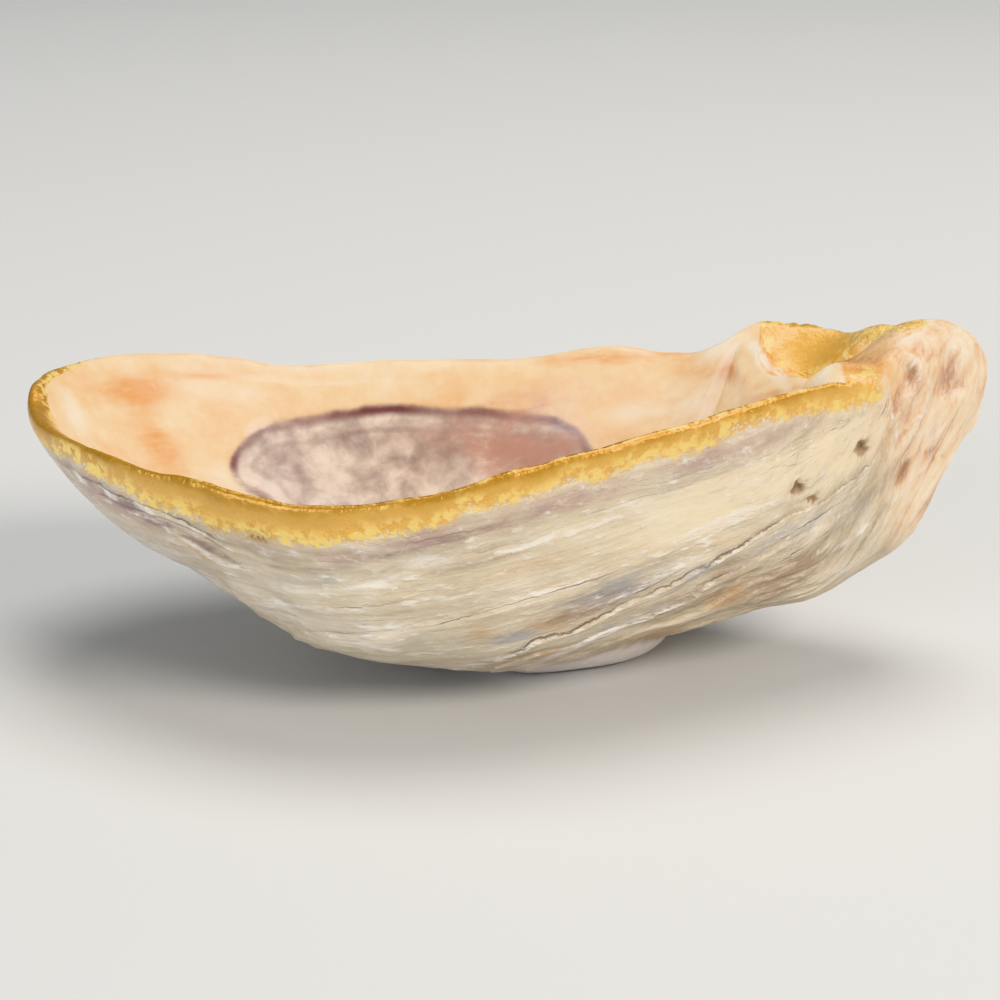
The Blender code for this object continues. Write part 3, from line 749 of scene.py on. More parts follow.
# Folds and dents of the beak: path in pixels, half width in pixels, rise in mm
folds = [
    ([(901, 352), (913, 361), (921, 372), (918, 384), (909, 396), (902, 406), (894, 417)], 4.5, 0.42),
    ([(962, 352), (970, 368), (971, 384), (962, 398), (950, 402)], 6.5, 0.34),
    ([(948, 358), (951, 370), (949, 382), (946, 393)], 8.0, -0.50),
    ([(909, 366), (911, 374), (908, 382)], 5.5, -0.34),
    ([(897, 386), (894, 398), (890, 414)], 4.0, -0.50),
    ([(929, 352), (932, 372), (926, 396), (914, 420), (900, 446)], 6.0, 0.30),
    ([(938, 404), (930, 430), (920, 456), (903, 492), (876, 520)], 5.0, -0.26),
    ([(948, 412), (937, 440), (922, 470), (900, 500), (868, 532)], 7.0, 0.26),
    ([(926, 452), (934, 452), (944, 456)], 2.6, -0.26),
    ([(908, 461), (904, 472), (898, 484)], 4.0, -0.42),
    ([(938, 398), (950, 399), (960, 399)], 3.0, 0.28)]

# Holes that boring animals left: u, v, half width and half height in pixels, tilt, depth in mm
bores = [
    (799, 490, 7.0, 6.0, -35, 0.80), (813, 500, 6.0, 4.5, -25, 0.50), (863, 448, 7.5, 9.0, 15, 0.65),
    (257, 541, 12.0, 3.0, 5, 0.30)]
boreShape = {                     # in a hole's own half widths
    "reach": 2.4, "pull": 0.3,    # how far round a hole the mesh is drawn together, and how sharply
    "floor": (1.15, 0.5), "stain": (1.25, 0.45),      # where it begins, and over how much it fades in
    "lip": (1.35, 0.3), "lipRise": 0.09,
    "away": 99.0, "most": 20.0,   # stands for no hole nearby, and the furthest that still has some weight
}


def spotPlace(pixel, u, v, wide, tall, tilt):
    # Place in a tilted ellipse of the picture, in its half widths and half heights
    turn = math.radians(tilt)
    offset = pixel - np.array([u, v])
    across = (offset[..., 0] * math.cos(turn) + offset[..., 1] * math.sin(turn)) / wide
    return across, (offset[..., 1] * math.cos(turn) - offset[..., 0] * math.sin(turn)) / tall


def sinkBores(rings, place, normal, pixel, facing, outside):
    hole = np.zeros(facing.shape)
    (floorAt, floorFade), (stainAt, stainFade) = boreShape["floor"], boreShape["stain"]
    lipAt, lipWidth = boreShape["lip"]
    for *spot, depth in bores:
        seen = (facing > viewpoint["edgeOn"]) & outside
        span = np.where(seen, np.hypot(*spotPlace(pixel, *spot)), boreShape["away"])
        nearness = np.exp(-np.minimum(span, boreShape["most"]) ** 2)[..., None]
        pull = np.where(span < boreShape["reach"], (span / boreShape["reach"]) ** boreShape["pull"], 1.0)
        drawn = []
        for table in (rings, place):
            middle = (table * nearness).sum(axis=(0, 1)) / nearness.sum()
            drawn.append(middle + (table - middle) * pull[..., None])
        rings, place = drawn
        span = span * pull
        lip = boreShape["lipRise"] * np.exp(-((span - lipAt) / lipWidth) ** 2)
        rings = rings + normal * (lip - depth * smoothRamp(floorAt - span, 0.0, floorFade))[..., None]
        hole = np.maximum(hole, smoothRamp(stainAt - span, 0.0, stainFade))
    return rings, place, hole


# So that no hairline is left half-way between two: its most, and the mm that it fades over
hairlineReach = (1.5, 0.6)
# Hairlines that belong to no layer's edge: u, v, strength
hairlines = {
    "crack": [
        [(412, 544, 0.6), (442, 536, 0.8), (470, 531, 0.8), (493, 526, 0.7), (533, 517, 0.4)],
        [(325, 607, 0.3), (353, 608, 0.9), (377, 606, 0.9), (407, 600, 0.7), (430, 600, 0.2)],
        [(470, 553, 0.2), (484, 552, 0.7), (500, 547, 0.5), (519, 543, 0.2)],
        [(330, 634, 0.4), (388, 631, 0.9), (430, 626, 0.6), (461, 618, 0.9), (498, 608, 0.8),
         (552, 592, 0.9), (587, 582, 0.8), (633, 566, 0.4)],
        [(610, 607, 0.2), (640, 592, 0.8), (662, 580, 0.8), (690, 566, 0.3)],
        [(770, 470, 0.3), (782, 463, 0.6), (803, 449, 0.7), (832, 430, 0.4)],
        [(786, 472, 0.3), (806, 460, 0.5), (826, 449, 0.4)],
        [(748, 560, 0.3), (785, 537, 0.9), (815, 519, 0.9), (848, 497, 0.6), (868, 478, 0.2)],
        [(760, 575, 0.3), (790, 556, 0.8), (825, 534, 0.7), (850, 512, 0.3)],
        [(690, 590, 0.3), (716, 578, 0.8), (745, 566, 0.8), (770, 553, 0.3)],
        [(640, 626, 0.3), (665, 613, 0.8), (700, 600, 0.7), (735, 590, 0.3)]],
    "ridge": [
        [(400, 606, 0.3), (418, 601, 0.9), (440, 599, 0.8), (470, 594, 0.3)],
        [(484, 556, 0.4), (519, 549, 1.0), (545, 541, 1.0), (587, 527, 0.9), (640, 514, 0.4)],
        [(500, 601, 0.4), (535, 593, 0.9), (565, 586, 0.6), (600, 575, 0.3)],
        [(355, 629, 0.4), (370, 627, 0.9), (388, 627, 0.9), (410, 624, 0.3)],
        [(610, 603, 0.3), (640, 587, 0.9), (680, 566, 0.8), (720, 545, 0.3)],
        [(560, 655, 0.3), (590, 641, 0.9), (625, 626, 1.0), (665, 610, 0.8), (700, 600, 0.3)],
        [(667, 548, 0.4), (694, 530, 0.9), (735, 514, 1.0), (773, 503, 0.8), (800, 492, 0.4)],
        [(640, 560, 0.4), (690, 546, 0.8), (735, 523, 0.7), (770, 512, 0.3)],
        [(440, 673, 0.5), (470, 665, 0.9), (500, 660, 0.9), (530, 648, 0.5)],
        [(150, 520, 0.4), (190, 543, 0.8), (222, 562, 0.8), (262, 572, 0.4)],
        [(232, 590, 0.4), (280, 603, 0.8), (330, 611, 0.7), (360, 612, 0.3)],
        [(350, 640, 0.4), (390, 650, 0.8), (430, 655, 0.7), (470, 650, 0.3)],
        [(330, 585, 0.3), (365, 588, 0.9), (400, 583, 0.7), (420, 574, 0.3)],
        [(820, 560, 0.3), (850, 540, 0.8), (880, 515, 0.8), (905, 488, 0.4)],
        [(905, 450, 0.3), (920, 420, 0.8), (930, 390, 0.8), (926, 362, 0.5)],
        [(905, 372, 0.4), (918, 360, 0.9), (920, 376, 0.8), (908, 392, 0.4)],
        [(858, 395, 0.3), (880, 405, 0.6), (897, 425, 0.8), (890, 450, 0.4)]],
}


def nearestHairline(paths, pixel, facing):
    # Signed distance in mm to the nearest drawn line, and its strength there
    gap = np.full(facing.shape, farAway)
    strength = np.zeros(facing.shape)
    for path in paths:
        found, along, walked, value = pathGap(pixel, finePath(path, 3))
        found = found / viewpoint["pixelsPerMm"]
        closer = np.abs(found) < np.abs(gap)
        gap = np.where(closer, found, gap)
        strength = np.where(closer, value, strength)
    most, fadeMm = hairlineReach
    near = np.clip(most - np.abs(gap) / fadeMm, 0.0, 1.0)
    return gap, strength * near * smoothRamp(facing, 0.0, 0.15)


# Stains and tints of the shell, some partly painted light or shade, each with spots as ellipses: u, v, half
# width, half height, tilt, strength. Elsewhere is how much of it lies on the sides that the view doesn't
# show.
tints = {
    "blush": {
        "surface": "outer", "colour": "#ad9089", "grainMm": 1.1, "elsewhere": 0.45,
        "patches": [
            (110, 500, 75, 14, 33, 0.8), (175, 560, 75, 22, 33, 0.5), (290, 552, 75, 10, 4, 0.5),
            (430, 537, 70, 9, -14, 1.0), (560, 503, 95, 12, -17, 0.9), (720, 455, 110, 14, -20, 0.8),
            (905, 400, 14, 40, 25, 0.6), (948, 376, 14, 24, 10, 0.9), (930, 440, 12, 50, 22, 0.5),
            (360, 556, 60, 8, -6, 0.9)]},
    # Painted shade: this tint is the dark purple band along the crevice under the gold band
    "plumShade": {
        "surface": "outer", "colour": "#80656a", "grainMm": 0.5, "elsewhere": 0.2,
        "patches": [
            (70, 468, 18, 3, 38, 1.0), (104, 491, 26, 4, 33, 1.4), (141, 513, 28, 4, 30, 1.6),
            (176, 530, 28, 3, 27, 1.2), (210, 549, 26, 3, 30, 1.1), (232, 562, 16, 3, 36, 1.0),
            (300, 568, 50, 3, 4, 0.6), (385, 556, 60, 4, -14, 0.7),
            (470, 534, 70, 4, -14, 0.8), (560, 505, 60, 5, -17, 0.4), (230, 531, 40, 6, 14, 0.5)]},
    "slate": {
        "surface": "outer", "colour": "#9fa4ad", "grainMm": 0.9, "elsewhere": 0.3,
        "patches": [
            (606, 596, 55, 14, -20, 1.2), (515, 638, 30, 7, -14, 0.9), (650, 576, 45, 8, -24, 0.6),
            (625, 622, 70, 7, -24, 0.7), (300, 579, 50, 10, 0, 0.5), (790, 533, 75, 12, -30, 0.6),
            (830, 473, 18, 9, -30, 0.6), (700, 572, 50, 8, -28, 0.6), (860, 505, 50, 10, -45, 0.5),
            (440, 640, 60, 14, 5, 0.35), (700, 470, 60, 8, -20, 0.4), (180, 590, 60, 20, 33, 0.4)]},
    "ochre": {
        "surface": "outer", "colour": "#c29866", "grainMm": 0.9, "elsewhere": 0.3,
        "patches": [
            (478, 632, 26, 12, -8, 0.6), (566, 616, 56, 12, -14, 0.6), (530, 566, 60, 10, -15, 0.5),
            (728, 597, 26, 10, -20, 1.0), (648, 636, 30, 5, -12, 0.9), (255, 541, 14, 3, 4, 1.0),
            (195, 548, 28, 4, 36, 0.7), (545, 655, 60, 5, -15, 0.5), (640, 548, 60, 8, -20, 0.35),
            (870, 360, 28, 18, -25, 0.5), (884, 446, 9, 26, 28, 0.6), (930, 380, 12, 24, 15, 0.7),
            (560, 585, 50, 6, -17, 0.35)]},
    # Partly a brown stain, partly painted shade: this tint darkens the lower right flank
    "umberAndShade": {
        "surface": "outer", "colour": "#8c725c", "grainMm": 0.8, "elsewhere": 0.25,
        "patches": [
            (782, 578, 60, 18, -30, 1.0), (700, 596, 110, 16, -22, 0.7), (560, 655, 120, 10, -12, 0.7),
            (595, 602, 60, 12, -20, 0.8), (820, 545, 45, 6, -34, 0.7), (735, 560, 60, 5, -26, 0.5),
            (885, 480, 8, 40, 40, 0.6), (760, 566, 80, 4, -28, 0.6), (797, 567, 40, 10, -30, 1.0),
            (780, 581, 30, 9, -32, 1.4), (505, 598, 45, 9, -12, 0.35)]},
    # Partly a red-brown stain, partly painted shade: its small spots sit in the beak's dents and darken them
    "russetAndShade": {
        "surface": "outer", "colour": "#a97c5c", "grainMm": 0.7, "elsewhere": 0.2,
        "patches": [
            (902, 473, 5, 12, 25, 1.4), (896, 403, 5, 16, 12, 1.2), (911, 373, 6, 12, 10, 1.2),
            (948, 376, 9, 20, 8, 0.9), (925, 350, 12, 10, 30, 0.5), (905, 430, 6, 34, 22, 0.5),
            (680, 628, 36, 5, -18, 0.7)]},
    # Partly the shell's cream, partly painted light: its tall spot on the beak's right side paints the light
    # there
    "creamAndLight": {
        "surface": "outer", "colour": "#f3e2c0", "grainMm": 1.2, "elsewhere": 0.3,
        "patches": [
            (720, 503, 110, 22, -22, 1.1), (840, 450, 50, 24, -38, 1.3), (400, 590, 70, 16, -8, 0.5),
            (905, 340, 40, 10, -10, 0.4), (965, 400, 14, 40, 15, 0.8), (925, 400, 6, 50, 25, 0.6),
            (620, 545, 90, 10, -18, 0.4)]},
    # Partly the shell's white crust, partly painted light: its wide spot low on the left flank paints bounce
    # light
    "chalkAndLight": {
        "surface": "outer", "colour": "#efe9e1", "grainMm": 0.7, "elsewhere": 0.35,
        "patches": [
            (262, 602, 60, 12, 24, 0.6), (535, 541, 60, 3, -17, 0.6), (430, 560, 34, 8, -8, 0.8),
            (600, 635, 85, 3, -24, 0.9), (735, 516, 45, 4, -20, 0.6), (370, 584, 40, 4, -14, 0.8),
            (755, 342, 14, 4, 75, 1.5), (764, 360, 14, 4, 55, 1.5), (780, 373, 14, 4, 30, 1.5),
            (800, 379, 14, 4, 0, 1.5), (820, 371, 14, 4, -35, 1.5), (836, 359, 14, 4, -40, 1.2),
            (190, 578, 80, 16, 33, 0.9), (300, 620, 60, 10, 10, 0.4), (960, 345, 22, 12, 30, 0.4),
            (840, 570, 40, 8, -30, 0.5)]},
    # Partly the hollow's orange-tan, partly painted shade in the fold between the hinge and the far wall
    "amberAndShade": {
        "surface": "bowl", "colour": "#d0955c", "grainMm": 5.0, "elsewhere": 0.3,
        "patches": [
            (133, 390, 36, 17, 0, 1.1), (157, 443, 36, 17, 50, 1.2), (205, 374, 70, 6, 0, 0.5),
            (620, 357, 90, 9, -2, 1.1), (700, 372, 40, 9, 8, 0.7), (735, 376, 26, 9, 25, 1.0),
            (430, 374, 120, 5, 0, 0.5), (780, 392, 34, 5, -14, 0.6)]},
    # Partly the hollow's pale cream, partly painted light: its spot beside the hinge lightens the hinge's
    # shade
    "milkAndLight": {
        "surface": "bowl", "colour": "#f7ecd6", "grainMm": 4.0, "elsewhere": 0.3,
        "patches": [
            (70, 408, 9, 34, -30, 1.0), (225, 480, 60, 12, 25, 0.5), (690, 402, 52, 20, -15, 1.0),
            (722, 345, 24, 14, -30, 0.9), (766, 362, 8, 34, -38, 1.0), (300, 395, 90, 10, 0, 0.5),
            (822, 372, 8, 20, 40, 1.0), (640, 410, 40, 14, -10, 0.7)]},
    # Partly the scar's pink-brown, partly a painted shadow: its two large spots paint the shadow of a ring
    # lying in the hollow, which is not modelled
    "rosyAndShadow": {
        "surface": "bowl", "colour": "#a97f72", "grainMm": 2.0, "elsewhere": 0.15,
        "patches": [(520, 440, 70, 45, 0, 1.0), (440, 450, 60, 30, 0, 0.5), (247, 500, 40, 8, 30, 0.4)]},
}


spotFall = 0.9                    # how fast a tint fades from the middle of its spot
# Streaks and lumps of the tints on the sides that the view doesn't show, in mm, and where they show
hiddenTint = {"along": 11.0, "across": 3.5, "lumpMm": 3.0, "lumpShare": 0.4, "shows": (0.0, 0.8)}


def tintStrength(tint, pixel, point, place, facing, here):
    seen = smoothRamp(facing, 0.0, 0.12)
    marked = np.zeros(facing.shape)
    for *spot, strength in tint["patches"]:
        across, upward = spotPlace(pixel, *spot)
        marked = np.maximum(marked, strength * np.exp(-spotFall * (across ** 2 + upward ** 2)))
    seed = sum(ord(letter) for letter in tint["colour"])
    spread = streaks(place, hiddenTint["along"], hiddenTint["across"], seed)
    spread = spread + hiddenTint["lumpShare"] * grain(point / hiddenTint["lumpMm"], seed + 1)
    hidden = tint["elsewhere"] * 2 * smoothRamp(spread, *hiddenTint["shows"])
    return np.where(here, marked * seen + hidden * (1 - seen), 0.0)


# The valve's mesh
def closedSkin(rings, firstPole, lastPole):
    count = rings.shape[1]
    total = len(rings) * count
    verts = np.vstack([rings.reshape(-1, 3), firstPole, lastPole]) * mm
    row = np.arange(total).reshape(rings.shape[:2])
    nextRow = np.roll(row, -1, axis=1)
    quads = np.stack([row[:-1], nextRow[:-1], nextRow[1:], row[1:]], axis=-1).reshape(-1, 4)
    faces = quads.tolist()
    faces += [(total, int(b), int(a)) for a, b in zip(row[0], nextRow[0])]
    faces += [(total + 1, int(a), int(b)) for a, b in zip(row[-1], nextRow[-1])]
    mesh = bpy.data.meshes.new("oysterValve")
    mesh.from_pydata(verts.tolist(), [], faces)
    mesh.update()
    return mesh


def paint(mesh, name, values, poles):
    table = np.reshape(np.asarray(values, float), (len(mesh.vertices) - 2, -1))
    table = np.vstack([table, np.reshape(poles, (2, -1))]).astype(np.float32)
    kind, slot = ("FLOAT_VECTOR", "vector") if table.shape[1] == 3 else ("FLOAT", "value")
    mesh.attributes.new(name, kind, "POINT").data.foreach_set(slot, table.ravel())


# Smooth lip round the hinge's scoop: its middle and reach as numbers of lines, the rest in mm
lipRidge = {"middle": 178, "reach": 24, "rise": 0.5, "halfWidth": 0.75}


def makeValve():
    lines = valveLines()
    edges = layerEdges()
    even = ringShares(edges)[:, None] + 0 * lines[None, :, 0]
    skin, growth, seamGap, seamDark, knob = outerSkin(lines, even, edges)
    crest = len(skin) - 1
    bowl = bowlSkin(skin[-1])
    rings = roundRim(np.concatenate([skin, bowl]), crest)
    inner = np.arange(len(rings))[:, None] > crest + 0 * lines[None, :, 0]
    hinge = lines[None, :, 1] + 0 * rings[..., 0] == 0

    # Distance from the crest along each line
    steps = np.linalg.norm(np.diff(rings, axis=0), axis=2)
    walked = np.vstack([np.zeros(len(lines)), np.cumsum(steps, axis=0)])
    rimMm = np.abs(walked - walked[crest])

    place = layerPlace(np.concatenate([growth, np.ones(bowl.shape[:2])]), lines[None, :, 4])
    place[..., 2] = np.where(inner, place[..., 2] + rimMm, place[..., 2])
    normal = outwardFrom(rings)
    height = np.where(inner, mixGrain(rings, surface["hollowLumps"]), 0.0)
    height = height + mixGrain(rings, surface["rimLumps"]) * np.exp(-(rimMm / surface["rimReach"]) ** 2)
    lip = np.exp(-((np.arange(len(lines)) - lipRidge["middle"]) / lipRidge["reach"]) ** 4)[None, :]
    height = height + lipRidge["rise"] * lip * np.exp(-(rimMm / lipRidge["halfWidth"]) ** 2)
    scarGap = outlineGap(picturePlace(rings), scar["outline"]) / viewpoint["pixelsPerMm"]
    onScar = inner & (facingView(rings, normal) > viewpoint["edgeOn"]) & (rimMm > scar["clearOfRim"])
    scarGap = np.where(onScar, scarGap, -farAway)
    height = height - scar["sunk"] * smoothRamp(scarGap, *scar["edge"])
    rings, onLump = ontoLump(rings + normal * height[..., None])

    normal = outwardFrom(rings)
    pixel, facing = picturePlace(rings), facingView(rings, normal)
    onFlank = smoothRamp(facing, viewpoint["edgeOn"], 0.3) * ~inner * smoothRamp(rimMm, 0.0, 1.0)
    for path, wide, rise in folds:
        away = np.abs(pathGap(pixel, finePath(path))[0])
        rings = rings + normal * (rise * onFlank * np.exp(-(away / wide) ** 2))[..., None]
    rings, place, hole = sinkBores(rings, place, normal, pixel, facing, ~inner & ~hinge)
    pixel = picturePlace(rings)
    floor = np.append(form["hollowMiddle"], bedHeight(*np.array(form["hollowMiddle"])))
    beak = np.array([high[0], form["beakY"], form["nearEdge"][0][2]])
    mesh = closedSkin(rings, beak, floor)
    print("valve of", len(rings), "rings and", len(lines), "lines,", 2 * len(mesh.polygons), "triangles")

    # Marks that the material reads, and their values at the two poles
    fill = np.zeros(bowl.shape[:2])
    none, both = (0.0, 0.0), (farAway, farAway)
    marks = {
        "layerPlace": (place, [(0, 0, 0), (0, 0, layers["growMm"])]),
        "inner": (inner, (0.0, 1.0)), "rimMm": (rimMm, (30.0, 30.0)),
        "seamGap": (np.concatenate([seamGap, fill + farAway]), both),
        "seamDark": (np.concatenate([seamDark, fill]), none),
        "lump": (onLump * ~inner, none), "hole": (hole, none), "scar": (scarGap, (-farAway, -farAway)),
        "knob": (np.concatenate([knob, fill + knob[-1]]), (1.0, 0.0)),
        "plate": (hinge * smoothRamp(surface["plateEnd"] - rings[..., 0], 0.0, surface["plateFade"]), none),
        "gold": (goldGap(pixel, facing, lines, rimMm, inner, hinge), (-farAway, -farAway)),
    }
    for name, paths in hairlines.items():
        gap, strength = nearestHairline(paths, pixel, facing)
        marks[name + "Gap"] = gap, both
        marks[name + "Show"] = np.where(inner, 0.0, strength), none
    for name, tint in tints.items():
        here = inner | hinge if tint["surface"] == "bowl" else ~inner
        marks[name] = tintStrength(tint, pixel, rings, place, facing, here), none
    for name, (values, poles) in marks.items():
        paint(mesh, name, values, poles)
    mesh.shade_smooth()
    valve = bpy.data.objects.new("oysterValve", mesh)
    bpy.context.scene.collection.objects.link(valve)
    return valve


# Materials
def linearColour(text):
    parts = [int(text[start:start + 2], 16) / 255 for start in (1, 3, 5)]
    return [part / 12.92 if part <= 0.04045 else ((part + 0.055) / 1.055) ** 2.4 for part in parts] + [1.0]


def addNode(tree, kind, links, output=0, stops=None, **settings):
    # Links give sockets by name or number, or are values in the sockets' order
    node = tree.nodes.new("ShaderNode" + kind)
    for name, value in settings.items():
        setattr(node, name, value)
    if stops:
        elements = node.color_ramp.elements
        for element, (place, colour) in zip((elements[0], elements[1]), (stops[0], stops[-1])):
            element.position, element.color = place, linearColour(colour)
        for place, colour in stops[1:-1]:
            elements.new(place).color = linearColour(colour)
    for name, value in links.items() if isinstance(links, dict) else enumerate(links):
        if isinstance(value, bpy.types.NodeSocket):
            tree.links.new(value, node.inputs[name])
        else:
            node.inputs[name].default_value = value
    return node.outputs[output]


# Oyster shell is layered calcite: chalky, streaked along its layers, with white flakes at their broken edges.
# The clear sealer over it gives a soft satin gloss. Inside it is smooth, warm cream, and the muscle's scar is
# mauve in a purple-brown ring.
shellFinish = {
    "outer": [(0.38, "#b0a18b"), (0.45, "#c6b69d"), (0.5, "#d0c2a9"), (0.55, "#dacdb7"), (0.64, "#efe6d6")],
    "knob": [(0.38, "#b0876a"), (0.45, "#d6b28f"), (0.51, "#ebcfac"), (0.6, "#f9e8cd")],
    "plate": [(0.40, "#b57330"), (0.5, "#d29546"), (0.6, "#eabd7c")],
    "hollow": [(0.34, "#dcb486"), (0.46, "#e9c79a"), (0.55, "#f0d6ad"), (0.68, "#f7e6c8")],
    "scarFloor": [(0.38, "#8d7d78"), (0.46, "#a4968f"), (0.53, "#b9aca3"), (0.62, "#d6cabf")],
    "scarEdge": "#6c474a", "scarRings": [(0.35, 0.75, 1.0), (1.9, 0.4, 0.35)],    # mm in, half width, share
    # The shade and seam colours are painted shade: beside the layers' crevices, and as the dark line in seams
    # and cracks
    "flake": "#f8f2e8", "pore": "#7d6c5b", "shade": "#9c8a74", "seam": "#655443", "hole": "#8f6d4c",
    "lump": "#dcd3d1", "lumpShare": 0.85, "shadeShare": 0.5, "holeShare": 0.75,
    "flakeShare": 0.75, "poreShare": 0.2,
    "edgeFlakes": 0.10, "ridgeFlakes": 0.20,      # how much likelier flakes are along edges and ridges
    "seamWidth": 0.02, "crackWidth": 0.028, "shadeWidth": 0.7, "scarSwirl": 2.4,      # mm
    "mostTint": {"outer": 0.75, "bowl": 0.9}, "tintGrain": (0.3, 0.3, 0.9),
    "roughness": (0.30, 0.55), "coat": 0.3, "coatRoughness": 0.12,
}
# Pattern sizes in mm, and how many finer sizes are laid over each. Those in layers have a length along the
# layers and a width across them.
inLayers = {"broad": (12, 2.4, 4), "middle": (5.5, 1.0, 5), "fine": (7.0, 0.30, 3), "flakes": (1.2, 0.42, 6)}
downBeak = {"folds": (1.1, 5.0, 4)}  # width across the beak's folds and length down them
allOver = {"cloud": (8, 4), "mottle": (3.0, 5), "speck": (0.9, 4), "grit": (0.32, 3)}
noiseSpan = (0.3, 0.7)               # where nearly all of a noise pattern's values lie
# Ranges that patterns and marks are read over, and what they give at both ends if not none and all
ranges = {
    "scarWobble": (*noiseSpan, -0.3, 0.3), "scar": (-0.3, 0.4), "scarLift": (0.4, 0.6, 0.55, 1.0),
    "edgeSide": (-0.75, -0.1), "edgeEnd": (-0.08, 0.05, 1.0, 0.0), "ridge": (0.0, 0.4, 1.0, 0.0),
    "flake": (0.52, 0.78), "pore": (0.40, 0.28), "hole": (0.3, 0.9),
    "shake": (*noiseSpan, -0.09, 0.09), "broken": (0.38, 0.6, 0.15, 1.0),
    "line": (-0.055, 0.02), "opacity": (0.0, 0.9, 0.0, 0.75),
    "gilt": (-0.16, 0.12), "dusted": (0.62, 0.70), "goldBright": (0.44, 0.56),
    "goldEdge": (-1.0, 0.2, 1.0, 0.0), "goldCrest": (1.0, 3.2),
    "tintLift": (0.36, 0.62, 0.4, 1.5), "tint": (0.05, 1.15), "gloss": (0.35, 0.65),
}
# Patterns laid over the first, each with its share
blends = {
    "cloudy": ["cloud", (0.4, "mottle")],
    "streaky": ["broad", (0.4, "middle"), (0.45, "cloudy"), (0.22, "fine")],
    "mottled": ["cloud", (0.5, "mottle"), (0.2, "speck")],
    "folded": ["mottled", (0.6, "folds")],
    "scarred": ["cloud", (0.55, "swirl")],
}
# Relief too fine for the mesh: how much of each pattern, in mm
relief = {
    "flank": {"fine": 0.06, "middle": 0.05, "speck": 0.08, "grit": 0.03, "flakes": 0.08},
    "knob": {"folds": 0.30, "speck": 0.10, "grit": 0.03},
    "smooth": {"mottle": 0.12, "speck": 0.02},
    "gold": {"mottle": 0.16, "speck": 0.14},
    "goldEdge": {"speck": 0.30, "grit": 0.05},
}
flakeMm, seamMm = 0.05, -0.10      # height of a flake, and of the bottom of a seam
# Gold paint brushed on by hand: fine metal flake in a clear binder, satin, wrinkled where it lies thick and
# worn to grains at its ragged edge.
goldFinish = {
    "band": [(0.0, "#bd8f42"), (0.25, "#d4a859"), (0.6, "#e1b265"), (1.0, "#ebba64")],    # from the crest out
    "flake": "#ffe08a", "lip": "#b48536", "lipShare": 0.85,
    "ragged": 0.45, "grains": 0.35, "raggedInside": 0.3,      # mm that its edge wanders, share of it inside
    "dust": (-0.9, 0.1), "dustShare": 0.8, "dustMore": 0.2,  # mm from its edge where grains of it lie
    "edgeBlur": 2.4, "bandBlur": 2.0,   # mm that its colours wander
    "roughness": (0.24, 0.44), "metal": 0.45, "coat": 0.08,
}
# Settings that nodes share
mixed = {"data_type": "RGBA", "output": 2}
eased = {"interpolation_type": "SMOOTHSTEP"}
times, plus, larger = ({"operation": name} for name in ("MULTIPLY", "ADD", "MAXIMUM"))
timesPlus, positive = {"operation": "MULTIPLY_ADD"}, {"operation": "ABSOLUTE"}


def readMarks(add):
    names = ["inner", "rimMm", "seamGap", "seamDark", "lump", "scar", "gold", "hole", "knob", "plate"]
    names += [name + part for name in hairlines for part in ("Gap", "Show")] + list(tints)
    return {name: add("Attribute", (), "Fac", attribute_name=name) for name in names}


def makePatterns(add, place, flow):
    # Each pattern's noise, and one for each tint to break it up
    fields = {}
    for name, (along, across, detail) in inLayers.items():
        size = (1 / along, 1 / along, 1 / across)
        fields[name] = add("VectorMath", (flow, size), **times), 1.0, detail, 0.6, 0.0
    for name, (across, along, detail) in downBeak.items():
        size = (across * mm, across * mm, along * mm)
        links = {"Vector": place, "Rotation": (0, layers["beakLean"], 0), "Scale": size}
        fields[name] = add("Mapping", links, vector_type="TEXTURE"), 1.0, detail, 0.6, 0.4
    for name, (size, detail) in allOver.items():
        fields[name] = place, 1 / (size * mm), detail, 0.6, 0.0
    fields["swirl"] = place, 1 / (shellFinish["scarSwirl"] * mm), 4, 0.55, 0.3
    for name, tint in tints.items():
        size = [share / tint["grainMm"] for share in shellFinish["tintGrain"]]
        fields[name] = add("VectorMath", (flow, size), **times), 1.0, 5, 0.7, 0.0
    sockets = ("Vector", "Scale", "Detail", "Roughness", "Distortion")
    pattern = {name: add("TexNoise", dict(zip(sockets, values)), "Fac") for name, values in fields.items()}
    for name, (first, *others) in blends.items():
        pattern[name] = pattern[first]
        for share, other in others:
            pattern[name] = add("Mix", {0: share, 2: pattern[name], 3: pattern[other]})
    return pattern


def scarCoats(add, pattern, marks):
    # Scar: mottled floor, streaked, in a dark ring that comes and goes
    wobble = add("MapRange", (pattern["cloud"], *ranges["scarWobble"]))
    scarGap = add("Math", (marks["scar"], wobble), **plus)
    within = add("MapRange", (scarGap, *ranges["scar"]), **eased)
    coats = [(within, add("ValToRGB", (pattern["scarred"],), stops=shellFinish["scarFloor"]))]
    lift = add("MapRange", (pattern["cloud"], *ranges["scarLift"]))
    for centre, halfWidth, strength in shellFinish["scarRings"]:
        fromEdge = add("Math", (scarGap, -centre), **plus)
        fromEdge = add("Math", (fromEdge,), **positive)
        edge = add("MapRange", (fromEdge, 0.05, halfWidth, strength, 0.0), **eased)
        coats.append((add("Math", (edge, lift), use_clamp=True, **times), shellFinish["scarEdge"]))
    return coats


